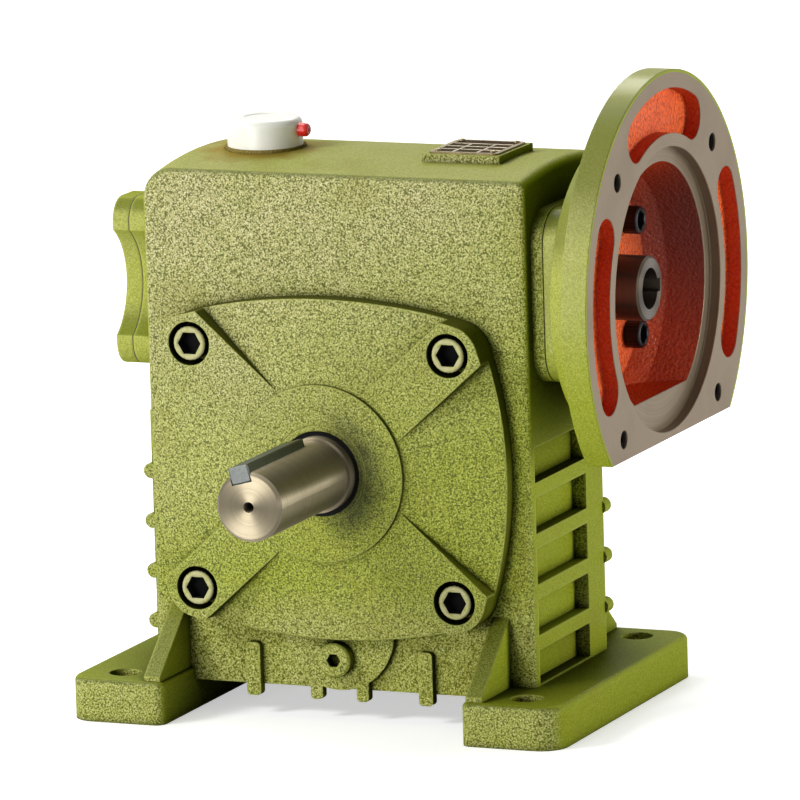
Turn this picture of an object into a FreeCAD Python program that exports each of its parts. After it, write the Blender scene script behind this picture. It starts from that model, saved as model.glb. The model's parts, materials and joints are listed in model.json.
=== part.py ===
import FreeCAD, Part
import os
import re
import Sketcher

# Worm gear speed reducer with a motor flange, millimetres and degrees.
# World frame: X along the worm (motor side +X), Y along the output shaft (shaft end at -Y), Z up,
# origin at the middle of the foot hole pattern, on the plane that the feet stand on.

SIZES = {
    # Feet
    "foot_hole_span_x": 200, "foot_hole_span_y": 135, "foot_hole_diameter": 15,
    "base_length": 244, "base_width": 170, "foot_thickness": 20, "foot_rail_width": 48,
    "foot_corner_outer": 12, "foot_corner_inner": 5, "foot_edge_round": 2.5,
    # Shaft axes
    "output_height": 118, "centre_distance": 80,
    # Gear case
    "case_length": 193, "case_depth": 94, "case_top": 256.5, "case_floor": 14, "case_wall": 10,
    "crown_radius": 278, "blind_corner": 15, "motor_corner": 4, "case_edge_round": 3, "cover_bore": 140,
    "panel_wall": 8, "frame_proud": 3.5, "frame_reach": 38.5, "frame_top": 138,
    "gusset_place": 80, "gusset_thickness": 8, "gusset_top": 52, "gusset_reach": 82, "gusset_toe": 2,
    "panel_depth": 6.5, "panel_front": 42.5, "panel_rear": 18, "panel_bottom": 21, "panel_top": 130,
    "rib_count": 4, "rib_first": 40, "rib_pitch": 23.5, "rib_height": 7,
    "rib_end_proud": 5, "rib_end_inset": 2.5,
    "sump_radius": 28, "sump_height": 42, "sump_proud": 3.5, "sump_toe_place": 11.5, "sump_toe_width": 6,
    "toe_rib_place": 43, "toe_rib_width": 7, "toe_rib_top": 34, "toe_drop": 5, "toe_round": 2,
    "drain_height": 29, "drain_diameter": 12,
    "filler_place": 51, "filler_diameter": 27, "filler_boss_diameter": 38, "filler_boss_height": 1,
    "plate_place": 55, "plate_length": 38, "plate_width": 40, "plate_pad_height": 3,
    "boss_size": 80, "boss_corner": 16, "boss_end": 102, "inner_boss_end": 66, "inner_boss_wall": 8,
    "lug_size": 78, "lug_depth": 88, "lug_corner": 11, "lug_waist": 62, "lug_hollow_radius": 30,
    "lug_end": 101,
    "column_diameter": 22, "column_end": 21, "tapped_depth": 20, "end_tapped_depth": 15,
    # Covers of the output bearings
    "bolt_span_x": 128, "bolt_span_z": 114, "cover_width": 176, "cover_height": 158,
    "cover_side_radius": 190, "cover_cap_radius": 270, "cover_corner": 15,
    "cover_edge": 7, "cover_thickness": 16, "cover_boss_diameter": 82, "cover_boss_step": 2,
    "cover_slope_diameter": 180, "arm_width": 27, "spigot_depth": 12.5, "spigot_wall": 9, "hub_wall": 8,
    "cover_shaft_hole": 40, "gasket": 0.5, "gasket_inset": 0.6,
    # Motor flange
    "flange_diameter": 200, "flange_thickness": 12, "flange_face": 147, "flange_bolt_circle": 165,
    "flange_thread": 8.5, "flange_flat": 68, "pilot_diameter": 130, "pilot_depth": 5,
    "bowl_diameter": 116, "bowl_flat": 48, "bowl_floor": 116, "bowl_floor_diameter": 94, "bowl_knee": 125,
    "bowl_knee_diameter": 106, "bell_start": 106, "bell_knee": 116, "bell_knee_diameter": 132,
    "bell_end_diameter": 152, "kidney_inner": 71, "kidney_outer": 91.6, "kidney_depth": 7, "kidney_span": 50,
    "adapter_bolt_place": 26.5, "flange_shaft_gap": 1, "flange_relief_diameter": 52,
    # Output shaft
    "shaft_end": 144, "shaft_end_gap": 0.5, "shaft_diameter": 32, "shaft_shoulder": 70, "seal_journal": 35,
    "wheel_seat": 45, "collar_diameter": 52, "shaft_chamfer": 1.5, "centre_hole": 5, "centre_hole_depth": 9,
    "key_width": 10, "key_height": 8, "key_depth": 5, "key_length": 62, "key_angle": 105,
    "wheel_key_width": 14, "wheel_key_height": 9, "wheel_key_depth": 5.5, "wheel_key_length": 44,
    # Worm and wheel
    "gear_module": 3.15, "worm_starts": 2, "wheel_teeth": 40, "pressure_angle": 20, "backlash": 0.6,
    "bottom_gap": 0.65, "tooth_root_angle": 11, "tooth_tip_angle": 22, "rim_width": 28, "rim_bore": 96,
    "hub_length": 50, "hub_diameter": 68, "hub_flange_diameter": 112, "hub_flange_thickness": 6,
    "rim_bolt_circle": 104, "worm_turns": 3, "worm_core": 36, "root_run_out": 7, "root_slope": 3,
    "thread_sink": 0.5, "input_end": 138, "hollow_chamfer": 1, "drill_point": 4,
    "motor_bore": 19, "motor_bore_depth": 40, "motor_key_width": 6, "motor_key_depth": 2.8,
    # Tapered roller bearings: bore, outer diameter, mounted width, cone width, cup width, seat
    "output_bore": 40, "output_outer": 80, "output_width": 19.75, "output_cone": 18, "output_cup": 16,
    "output_seat": 55.5, "output_rollers": 14,
    "input_bore": 30, "input_outer": 62, "input_width": 17.25, "input_cone": 16, "input_cup": 14,
    "input_seat": 95, "input_rollers": 13,
    "blind_bore": 25, "blind_outer": 52, "blind_width": 16.25, "blind_cone": 15, "blind_cup": 13,
    "blind_seat": 95, "blind_rollers": 12,
    "roller_angle": 13, "roller_taper": 2, "roller_share": 0.44, "roller_length_share": 0.6,
    # Seals
    "output_seal_outer": 45, "output_seal_width": 7, "input_seal_outer": 47, "input_seal_width": 8,
    "seal_lip_wall": 2, "seal_web": 2.5,
    # Fasteners: thread, head diameter, head height, socket across flats, length under the head
    "cover_screw": 10, "cover_screw_head": 16, "cover_screw_head_height": 10, "cover_screw_hex": 8,
    "cover_screw_length": 24, "cover_counterbore": 17.6,
    "flange_screw": 8, "flange_screw_head": 13, "flange_screw_head_height": 8, "flange_screw_hex": 6,
    "flange_screw_length": 25,
    "lug_screw": 6, "lug_screw_head": 10, "lug_screw_head_height": 6, "lug_screw_hex": 5,
    "lug_screw_length": 16, "lug_bolt_place": 28, "end_cover_thickness": 8,
    "rim_screw": 6, "rim_screw_head": 9, "rim_screw_head_height": 4, "rim_screw_hex": 4,
    "rim_screw_length": 16, "rim_screw_count": 6, "screw_end_gap": 1,
    # Cap, plugs and plate
    "cap_diameter": 35, "cap_height": 13, "cap_round": 4, "cap_stem": 18, "vent_diameter": 6.4,
    "vent_proud": 5, "vent_depth": 7, "vent_height": 7.5,
    "plug_head": 16, "plug_proud": 6, "plug_hex": 6, "plug_hex_depth": 5, "plug_chamfer": 1,
    "plate_thickness": 0.8, "plate_margin": 2, "rivet_diameter": 3, "rivet_height": 1, "rivet_inset": 3.5,
    # Clearances: a seated fit, a running fit between bodies, a free hole round a screw, a spigot, keys
    "seat_gap": 0.02, "running_gap": 0.12, "screw_gap": 0.4, "spigot_gap": 0.3, "key_gap": 0.05,
    "key_top_gap": 0.15,
    # How far a feature starts inside the solid that carries it, and a cut outside
    "weld": 1,
}

# Places that follow from the driving sizes, as the expressions that the objects are bound to.
DERIVED = {
    "worm_height": "output_height + centre_distance",
    "case_face": "case_depth / 2",
    "case_side": "case_length / 2",
    "strip_side": "case_side - frame_proud",
    "cavity_side": "case_side - panel_depth - panel_wall",
    "cavity_face": "case_face - case_wall",
    "cover_face": "case_face + gasket",
    "cover_top": "cover_face + cover_thickness",
    "cover_boss_top": "cover_top + cover_boss_step",
    "spigot_end": "cover_face - spigot_depth",
    "adapter_face": "boss_end + gasket",
    "end_cover_face": "lug_end + gasket",
    "pitch_radius": "gear_module * wheel_teeth / 2",
    "worm_pitch_radius": "centre_distance - pitch_radius",
    "tip_radius": "pitch_radius + gear_module",
    "root_radius": "pitch_radius - gear_module - bottom_gap",
    "worm_tip_radius": "worm_pitch_radius + gear_module",
    "worm_root_radius": "worm_pitch_radius - gear_module - bottom_gap",
    "axial_pitch": "pi * gear_module",
    "lead": "axial_pitch * worm_starts",
    "tooth_half": "(axial_pitch / 2 - backlash / 2) / 2",
    "rim_twist": "rim_width / 2 * lead / (2 * pi * worm_pitch_radius) / pitch_radius * 180 / pi",
    "hub_side": "hub_length / 2",
    "output_cone_back": "output_seat - output_width",
    "input_cone_back": "input_seat - input_width",
    "blind_cone_back": "blind_seat - blind_width",
    "plate_top": "case_top + plate_pad_height",
    "filler_top": "case_top + filler_boss_height",
    "sump_face": "case_face + sump_proud",
}

V = FreeCAD.Vector
doc = FreeCAD.newDocument("WormReducer")
parts = []


def spell(text, cell):
    """Writes an expression out in full: derived names are expanded and sizes become cell(name)."""
    def swap(match):
        name = match.group(0)
        if name in DERIVED:
            return "(" + spell(DERIVED[name], cell) + ")"
        return cell(name) if name in SIZES else name
    return re.sub(r"[a-z][a-z_]*", swap, text)


def bind(thing, **texts):
    """Binds properties to expressions of sizes; a double underscore in a keyword stands for a dot."""
    for name, text in texts.items():
        thing.setExpression(name.replace("__", "."), spell(text, lambda size: "Sizes." + size))


def number(text):
    """The present value of an expression of sizes, for choosing edges."""
    return FreeCAD.Units.parseQuantity(spell(text, lambda size: "(%r)" % SIZES[size])).Value


def fill_sheet():
    sheet = doc.addObject("Spreadsheet::Sheet", "Sizes")
    for row, (name, size) in enumerate(SIZES.items(), start=1):
        sheet.set("A%d" % row, name.replace("_", " "))
        sheet.set("B%d" % row, str(size))
        sheet.setAlias("B%d" % row, name)
    doc.recompute()


# Local frames: z points outward from the gear's middle along one shaft, or up.
TURNS = {
    "front": FreeCAD.Rotation(V(1, 0, 0), 90),
    "rear": FreeCAD.Rotation(V(1, 0, 0), -90),
    "right": FreeCAD.Rotation(V(0, 1, 0), 90),
    "left": FreeCAD.Rotation(V(0, 1, 0), -90),
    "world": FreeCAD.Rotation(),
}
HEIGHTS = {
    "front": "output_height", "rear": "output_height",
    "right": "worm_height", "left": "worm_height", "world": "0",
}


def place(thing, frame, label):
    """Puts a finished sub-part into its frame and lists it for writing."""
    thing.Label = label
    thing.Placement = FreeCAD.Placement(V(), TURNS[frame])
    bind(thing, Placement__Base__z=HEIGHTS[frame])
    parts.append(thing)
    return thing


def new_body(name):
    return doc.addObject("PartDesign::Body", name)


def origin_of(body, role):
    """The body's own origin plane or axis with this role."""
    return next(datum for datum in body.Origin.OriginFeatures if datum.Role == role)


def new_sketch(body, plane, offset="0", turn="0"):
    sketch = body.newObject("Sketcher::SketchObject", "Sketch")
    sketch.AttachmentSupport = [(origin_of(body, plane), "")]
    sketch.MapMode = "FlatFace"
    bind(sketch, AttachmentOffset__Base__z=offset, AttachmentOffset__Rotation__Angle=turn)
    return sketch


def fix_point(sketch, curve, end, point):
    for kind, text in zip(("DistanceX", "DistanceY"), point):
        index = sketch.addConstraint(Sketcher.Constraint(kind, -1, 1, curve, end, number(text)))
        bind(sketch, **{"Constraints[%d]" % index: text})


def draw_outline(sketch, points):
    """A closed outline of straight lines through points given as pairs of expressions."""
    first = sketch.GeometryCount
    corners = [V(number(x), number(y)) for x, y in points]
    for step, corner in enumerate(corners):
        sketch.addGeometry(Part.LineSegment(corner, corners[(step + 1) % len(corners)]))
    for step, point in enumerate(points):
        follower = first + (step + 1) % len(points)
        sketch.addConstraint(Sketcher.Constraint("Coincident", first + step, 2, follower, 1))
        fix_point(sketch, first + step, 1, point)


def draw_rectangle(sketch, left, right, low, high):
    draw_outline(sketch, [(left, low), (right, low), (right, high), (left, high)])


def draw_round_rectangle(sketch, left, right, low, high, radius):
    """A rectangle whose corners are arcs."""
    corners = [(left, low, 1, 1), (right, low, -1, 1), (right, high, -1, -1), (left, high, 1, -1)]
    first = sketch.GeometryCount
    ends = []
    for step, (x, y, right_way, up_way) in enumerate(corners):
        beside = ("%s + %d * %s" % (x, right_way, radius), y)
        above = (x, "%s + %d * %s" % (y, up_way, radius))
        ends.append((above, beside) if step % 2 == 0 else (beside, above))
    for step, (start, end) in enumerate(ends):
        begin = V(*[number(text) for text in start])
        finish = V(*[number(text) for text in end])
        corner = V(number(corners[step][0]), number(corners[step][1]))
        middle = begin + finish - corner
        middle = middle + (corner - middle).normalize() * number(radius)
        sketch.addGeometry(Part.Arc(begin, middle, finish))
        follower = V(*[number(text) for text in ends[(step + 1) % 4][0]])
        sketch.addGeometry(Part.LineSegment(finish, follower))
    for step, (start, end) in enumerate(ends):
        arc = first + 2 * step
        sketch.addConstraint(Sketcher.Constraint("Coincident", arc, 2, arc + 1, 1))
        sketch.addConstraint(Sketcher.Constraint("Coincident", arc + 1, 2, first + (2 * step + 2) % 8, 1))
        index = sketch.addConstraint(Sketcher.Constraint("Radius", arc, number(radius)))
        bind(sketch, **{"Constraints[%d]" % index: radius})
        fix_point(sketch, arc + 1, 1, end)
        fix_point(sketch, arc + 1, 2, ends[(step + 1) % 4][0])


def draw_circle(sketch, x, y, diameter):
    curve = sketch.addGeometry(Part.Circle(V(), V(0, 0, 1), 1))
    fix_point(sketch, curve, 3, (x, y))
    index = sketch.addConstraint(Sketcher.Constraint("Diameter", curve, 2.0))
    bind(sketch, **{"Constraints[%d]" % index: diameter})


def draw_axis(sketch, start, end):
    curve = sketch.addGeometry(Part.LineSegment(V(), V(1, 1)), True)
    fix_point(sketch, curve, 1, start)
    fix_point(sketch, curve, 2, end)


def add(body, kind, sketch, **texts):
    feature = body.newObject("PartDesign::" + kind, kind)
    feature.Profile = sketch
    feature.Refine = False
    bind(feature, **texts)
    return feature


def pad(body, sketch, length):
    return add(body, "Pad", sketch, Length=length)


def pocket(body, sketch, length, along_normal=False):
    cut = add(body, "Pocket", sketch, Length=length)
    cut.Reversed = along_normal
    return cut


def revolve(body, sketch, axis="V_Axis"):
    turned_feature = add(body, "Revolution", sketch)
    turned_feature.ReferenceAxis = (sketch, [axis])
    turned_feature.Angle = 360
    return turned_feature


def polar(body, features, count):
    pattern = body.newObject("PartDesign::PolarPattern", "PolarPattern")
    pattern.Originals = features
    pattern.Axis = (origin_of(body, "Z_Axis"), [""])
    pattern.Angle = 360
    pattern.Refine = False
    bind(pattern, Occurrences=count)
    body.Tip = pattern


def round_edges(body, radius, chosen):
    """Fillets those edges of the body so far for which chosen(edge) holds."""
    doc.recompute()
    base = body.Tip
    names = ["Edge%d" % index for index, edge in enumerate(base.Shape.Edges, start=1) if chosen(edge)]
    fillet = body.newObject("PartDesign::Fillet", "Fillet")
    fillet.Base = (base, names)
    bind(fillet, Radius=radius)


def near(one, other):
    return abs(one - other) < 1e-3


def runs_along(edge, axis):
    box = edge.BoundBox
    lengths = {"x": box.XLength, "y": box.YLength, "z": box.ZLength}
    return near(lengths[axis], edge.Length)


def mirrored_pair(texts):
    """Both signs of an expression."""
    return [texts, "-(%s)" % texts]


def turned(name, *outlines):
    """A body turned about local z; each outline is a list of (radius, z)."""
    body = new_body(name)
    sketch = new_sketch(body, "XZ_Plane")
    for outline in outlines:
        draw_outline(sketch, outline)
    revolve(body, sketch)
    return body


def turn_about_z(thing, angle):
    thing.Placement = FreeCAD.Placement(V(), FreeCAD.Rotation(V(0, 0, 1), 1))
    bind(thing, Placement__Rotation__Angle=angle)


def tube(name, inner, outer, low, high):
    return turned(name, [(inner, low), (outer, low), (outer, high), (inner, high)])


def solid(kind, **texts):
    thing = doc.addObject("Part::" + kind, kind)
    bind(thing, **texts)
    return thing


def cylinder(radius, height, x="0", y="0", z="0"):
    return solid("Cylinder", Radius=radius, Height=height,
                 Placement__Base__x=x, Placement__Base__y=y, Placement__Base__z=z)


def fuse(*things):
    joined = doc.addObject("Part::MultiFuse", "Fusion")
    joined.Shapes = list(things)
    joined.Refine = True
    return joined


def common(*things):
    shared = doc.addObject("Part::MultiCommon", "Common")
    shared.Shapes = list(things)
    return shared


def cut(base, *tools):
    left = doc.addObject("Part::Cut", "Cut")
    left.Base = base
    left.Tool = tools[0] if len(tools) == 1 else fuse(*tools)
    return left


def compound(*things):
    group = doc.addObject("Part::Compound", "Compound")
    group.Links = list(things)
    return group


def in_four(one):
    """The thing and its mirror images across local x and y, as separate solids."""
    pair = one
    for normal in (V(1, 0, 0), V(0, 1, 0)):
        image = doc.addObject("Part::Mirroring", "Mirror")
        image.Source = pair
        image.Normal = normal
        pair = compound(pair, image)
    return pair


def hexagon(x, y, across):
    corner = "(%s) / sqrt(3)" % across
    return [("%s + %s * cos(%d)" % (x, corner, angle), "%s + %s * sin(%d)" % (y, corner, angle))
            for angle in range(0, 360, 60)]


def socket_screw(name, kind, x, y, seat):
    """A socket head screw whose head sits at local z = seat, its shank pointing inward."""
    screw, head, high = kind, kind + "_head", kind + "_head_height"
    body = new_body(name)
    outline = new_sketch(body, "XZ_Plane")
    shank = "%s / 2 - screw_gap / 2" % screw
    draw_axis(outline, (x, "0"), (x, "1"))
    draw_outline(outline, [
        (x, "%s - %s_length" % (seat, kind)),
        ("%s + %s" % (x, shank), "%s - %s_length" % (seat, kind)),
        ("%s + %s" % (x, shank), seat),
        ("%s + %s / 2" % (x, head), seat),
        ("%s + %s / 2" % (x, head), "%s + %s" % (seat, high)),
        (x, "%s + %s" % (seat, high))])
    bind(outline, AttachmentOffset__Base__z="-(%s)" % y)
    revolve(body, outline, "Axis0")
    socket = new_sketch(body, "XY_Plane", "%s + %s" % (seat, high))
    draw_outline(socket, hexagon(x, y, kind + "_hex"))
    pocket(body, socket, high + " / 2")
    return body


# Gear case

def case_block(body):
    """The box with its crowned roof; the motor side stands out by the height of the side frames."""
    profile = new_sketch(body, "XZ_Plane", "-case_face")
    draw_rectangle(profile, "-strip_side", "case_side", "case_floor", "case_top")
    pad(body, profile, "case_depth")
    crown = new_sketch(body, "YZ_Plane", "case_side")
    draw_rectangle(crown, "-2 * crown_radius", "2 * crown_radius", "-2 * crown_radius", "2 * crown_radius")
    draw_circle(crown, "0", "case_top - crown_radius", "2 * crown_radius")
    pocket(body, crown, "case_length")

    def roof_side(edge, x):
        lies_across = edge.BoundBox.YLength > number("case_face - weld")
        return lies_across and near(edge.CenterOfMass.x, x) and edge.CenterOfMass.z > number("frame_top")

    round_edges(body, "blind_corner", lambda edge: roof_side(edge, -number("strip_side")))
    round_edges(body, "motor_corner", lambda edge: roof_side(edge, number("case_side")))
    face = number("case_face")
    floor = number("case_floor")
    round_edges(body, "case_edge_round", lambda edge: near(abs(edge.CenterOfMass.y), face)
                and edge.BoundBox.YLength < number("weld") and not near(edge.CenterOfMass.z, floor))
    hollow = new_sketch(body, "XZ_Plane", "cavity_face")
    draw_rectangle(hollow, "-cavity_side", "cavity_side", "case_floor + case_wall", "case_top - case_wall")
    pocket(body, hollow, "2 * cavity_face")


def case_feet(body):
    rails = new_sketch(body, "XY_Plane")
    draw_rectangle(rails, "base_length / 2 - foot_rail_width", "base_length / 2",
                   "-base_width / 2", "base_width / 2")
    draw_rectangle(rails, "-base_length / 2", "foot_rail_width - base_length / 2",
                   "-base_width / 2", "base_width / 2")
    pad(body, rails, "foot_thickness")
    outer = number("base_length / 2")
    inner = number("base_length / 2 - foot_rail_width")
    edge_y = number("base_width / 2")
    high = number("foot_thickness")

    def corner(edge, x):
        middle = edge.CenterOfMass
        return runs_along(edge, "z") and near(abs(middle.x), x) and near(abs(middle.y), edge_y)

    def rim(edge):
        middle = edge.CenterOfMass
        beyond = abs(middle.y) > number("case_face + weld") or abs(middle.x) > number("case_side + weld")
        return near(middle.z, high) and near(edge.BoundBox.ZLength, 0) and beyond

    round_edges(body, "foot_corner_outer", lambda edge: corner(edge, outer))
    round_edges(body, "foot_corner_inner", lambda edge: corner(edge, inner))
    round_edges(body, "foot_edge_round", rim)
    for place_x in mirrored_pair("gusset_place"):
        web = new_sketch(body, "YZ_Plane", place_x + " - gusset_thickness / 2")
        for sign in ("", "-"):
            draw_outline(web, [(sign + "(case_face - weld)", "foot_thickness - weld"),
                               (sign + "gusset_reach", "foot_thickness - weld"),
                               (sign + "gusset_reach", "foot_thickness + gusset_toe"),
                               (sign + "case_face", "gusset_top"),
                               (sign + "(case_face - weld)", "gusset_top")])
        pad(body, web, "gusset_thickness")
    holes = new_sketch(body, "XY_Plane", "foot_thickness")
    for x in mirrored_pair("foot_hole_span_x / 2"):
        for y in mirrored_pair("foot_hole_span_y / 2"):
            draw_circle(holes, x, y, "foot_hole_diameter")
    pocket(body, holes, "foot_thickness")


def case_side_panels(body):
    """A ladder of sunk panels on each side, with the ribs' round ends on the strip beyond its rail."""
    frame = new_sketch(body, "YZ_Plane", "-case_side")
    draw_rectangle(frame, "-frame_reach", "case_face - case_edge_round", "case_floor", "frame_top")
    pad(body, frame, "frame_proud + weld")
    strip = new_sketch(body, "YZ_Plane", "case_side")
    draw_rectangle(strip, "frame_reach", "case_face + weld", "foot_thickness", "frame_top")
    pocket(body, strip, "frame_proud")
    ribs = ["(rib_first + %d * rib_pitch)" % step for step in range(SIZES["rib_count"])]
    lows = ["panel_bottom"] + [rib + " + rib_height / 2" for rib in ribs]
    highs = [rib + " - rib_height / 2" for rib in ribs] + ["panel_top"]
    for side in ("", "-"):
        panels = new_sketch(body, "YZ_Plane", side + "case_side")
        for low, high in zip(lows, highs):
            draw_rectangle(panels, side + "(-panel_front)", side + "panel_rear", low, high)
        pocket(body, panels, "panel_depth", along_normal=side == "-")
    for start, side in (("-(case_face - rib_end_inset)", ""), ("frame_reach - weld", "-")):
        ends = new_sketch(body, "XZ_Plane", start)
        for rib in ribs:
            draw_circle(ends, side + "(strip_side + rib_end_proud - rib_height / 2)", rib, "rib_height")
        pad(body, ends, "case_face - rib_end_inset - frame_reach + weld")


def case_sump(body):
    """The round oil sump pad with toes, and a toe rib at each side, front and rear."""
    for start in ("case_face - weld", "-sump_face"):
        raised = new_sketch(body, "XZ_Plane", start)
        draw_circle(raised, "0", "sump_height", "2 * sump_radius")
        pad(body, raised, "sump_proud + weld")
        toes = new_sketch(body, "XZ_Plane", start)
        for sign in ("", "-"):
            for toe, top in (("toe_rib", "toe_rib_top"), ("sump_toe", "sump_height - sump_radius / 2")):
                left = sign + "(%s_place - %s %s_width / 2)" % (toe, sign, toe)
                right = sign + "(%s_place + %s %s_width / 2)" % (toe, sign, toe)
                draw_round_rectangle(toes, left, right, "case_floor - toe_drop", top, "toe_round")
        pad(body, toes, "sump_proud + weld")
    for start, direction in (("sump_face", False), ("-sump_face", True)):
        seat = new_sketch(body, "XZ_Plane", start)
        draw_circle(seat, "0", "output_height - cover_height / 2 + cover_cap_radius",
                    "2 * (cover_cap_radius + spigot_gap)")
        pocket(body, seat, "sump_proud", direction)
    drain = new_sketch(body, "XZ_Plane", "sump_face")
    draw_circle(drain, "0", "drain_height", "drain_diameter")
    pocket(body, drain, "sump_proud + case_wall + weld")


def lug_block(body, outer_end, length, sink="0"):
    """A boss with rounded corners and hollow sides round the worm, reaching inward from outer_end."""
    square = new_sketch(body, "YZ_Plane", "-(%s)" % outer_end)
    draw_round_rectangle(square, "-lug_depth / 2", "lug_depth / 2", "worm_height - lug_size / 2",
                         "worm_height + lug_size / 2", "lug_corner")
    pad(body, square, length + " + " + sink)
    hollows = new_sketch(body, "YZ_Plane", "-(%s)" % outer_end)
    for away in mirrored_pair("lug_waist / 2 + lug_hollow_radius"):
        draw_circle(hollows, away, "worm_height", "2 * lug_hollow_radius")
        draw_circle(hollows, "0", "worm_height + " + away, "2 * lug_hollow_radius")
    pocket(body, hollows, length, along_normal=True)


def case_bosses(body):
    """Worm bearing bosses, bolt columns, filler boss and plate pad."""
    lug_block(body, "lug_end", "lug_end - strip_side", "weld")
    right = new_sketch(body, "YZ_Plane", "strip_side")
    draw_round_rectangle(right, "-boss_size / 2", "boss_size / 2", "worm_height - boss_size / 2",
                         "worm_height + boss_size / 2", "boss_corner")
    pad(body, right, "boss_end - strip_side")
    for start, outer in (("inner_boss_end", "input_outer"), ("weld - strip_side", "blind_outer")):
        ring = new_sketch(body, "YZ_Plane", start)
        draw_circle(ring, "0", "worm_height", outer + " + 2 * inner_boss_wall")
        pad(body, ring, "strip_side - weld - inner_boss_end")
    for start in ("column_end", "-(cavity_face + weld)"):
        columns = new_sketch(body, "XZ_Plane", start)
        for x in mirrored_pair("bolt_span_x / 2"):
            for z in mirrored_pair("bolt_span_z / 2"):
                draw_circle(columns, x, "output_height + " + z, "column_diameter")
        pad(body, columns, "cavity_face + weld - column_end")
    filler = new_sketch(body, "XY_Plane", "case_top - weld")
    draw_circle(filler, "-filler_place", "0", "filler_boss_diameter")
    pad(body, filler, "filler_boss_height + weld")
    plate = new_sketch(body, "XY_Plane", "case_top - weld")
    draw_rectangle(plate, "plate_place - plate_length / 2", "plate_place + plate_length / 2",
                   "-plate_width / 2", "plate_width / 2")
    pad(body, plate, "plate_pad_height + weld")


def case_bores(body):
    """Machined bores: cover openings, worm bearings, filler and tapped holes."""
    opening = new_sketch(body, "XZ_Plane", "sump_face")
    draw_circle(opening, "0", "output_height", "cover_bore")
    pocket(body, opening, "2 * sump_face")
    for start, end, outer in (("boss_end", "boss_end - inner_boss_end + weld", "input_outer"),
                              ("weld - inner_boss_end", "lug_end - inner_boss_end + weld", "blind_outer")):
        bore = new_sketch(body, "YZ_Plane", start)
        draw_circle(bore, "0", "worm_height", outer + " + 2 * seat_gap")
        pocket(body, bore, end)
    filler = new_sketch(body, "XY_Plane", "filler_top")
    draw_circle(filler, "-filler_place", "0", "filler_diameter")
    pocket(body, filler, "filler_boss_height + case_wall + weld")
    for start, direction in (("case_face", False), ("-case_face", True)):
        taps = new_sketch(body, "XZ_Plane", start)
        for x in mirrored_pair("bolt_span_x / 2"):
            for z in mirrored_pair("bolt_span_z / 2"):
                draw_circle(taps, x, "output_height + " + z, "cover_screw")
        pocket(body, taps, "tapped_depth", direction)
    for start, direction, where, thread in (("boss_end", False, "adapter_bolt_place", "flange_screw"),
                                            ("-lug_end", True, "lug_bolt_place", "lug_screw")):
        taps = new_sketch(body, "YZ_Plane", start)
        for y in mirrored_pair(where):
            for z in mirrored_pair(where):
                draw_circle(taps, y, "worm_height + " + z, thread)
        pocket(body, taps, "end_tapped_depth", direction)


def make_case():
    body = new_body("gear_case")
    case_block(body)
    case_sump(body)
    case_feet(body)
    case_bosses(body)
    case_bores(body)
    case_side_panels(body)
    place(body, "world", "gear_case")


# Covers over the output bearings

def cushion(low, height, inset="0"):
    """The covers' outline: four bowed sides and round corners."""
    sides = []
    for sign in ("", "-"):
        away = sign + "(cover_width / 2 - %s - cover_side_radius)" % inset
        sides.append(cylinder("cover_side_radius", height, x=away, z=low))
        away = sign + "(cover_height / 2 - %s - cover_cap_radius)" % inset
        sides.append(cylinder("cover_cap_radius", height, y=away, z=low))
    bowed = common(*sides)
    doc.recompute()
    rounded = doc.addObject("Part::Fillet", "Cushion")
    rounded.Base = bowed
    radius = number("cover_corner")
    rounded.Edges = [(index, radius, radius) for index, edge in enumerate(bowed.Shape.Edges, start=1)
                     if runs_along(edge, "z")]
    return rounded


def bolt_cylinders(diameter, low, height):
    hole = cylinder(diameter + " / 2", height, "bolt_span_x / 2", "bolt_span_z / 2", low)
    return in_four(hole)


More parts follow.
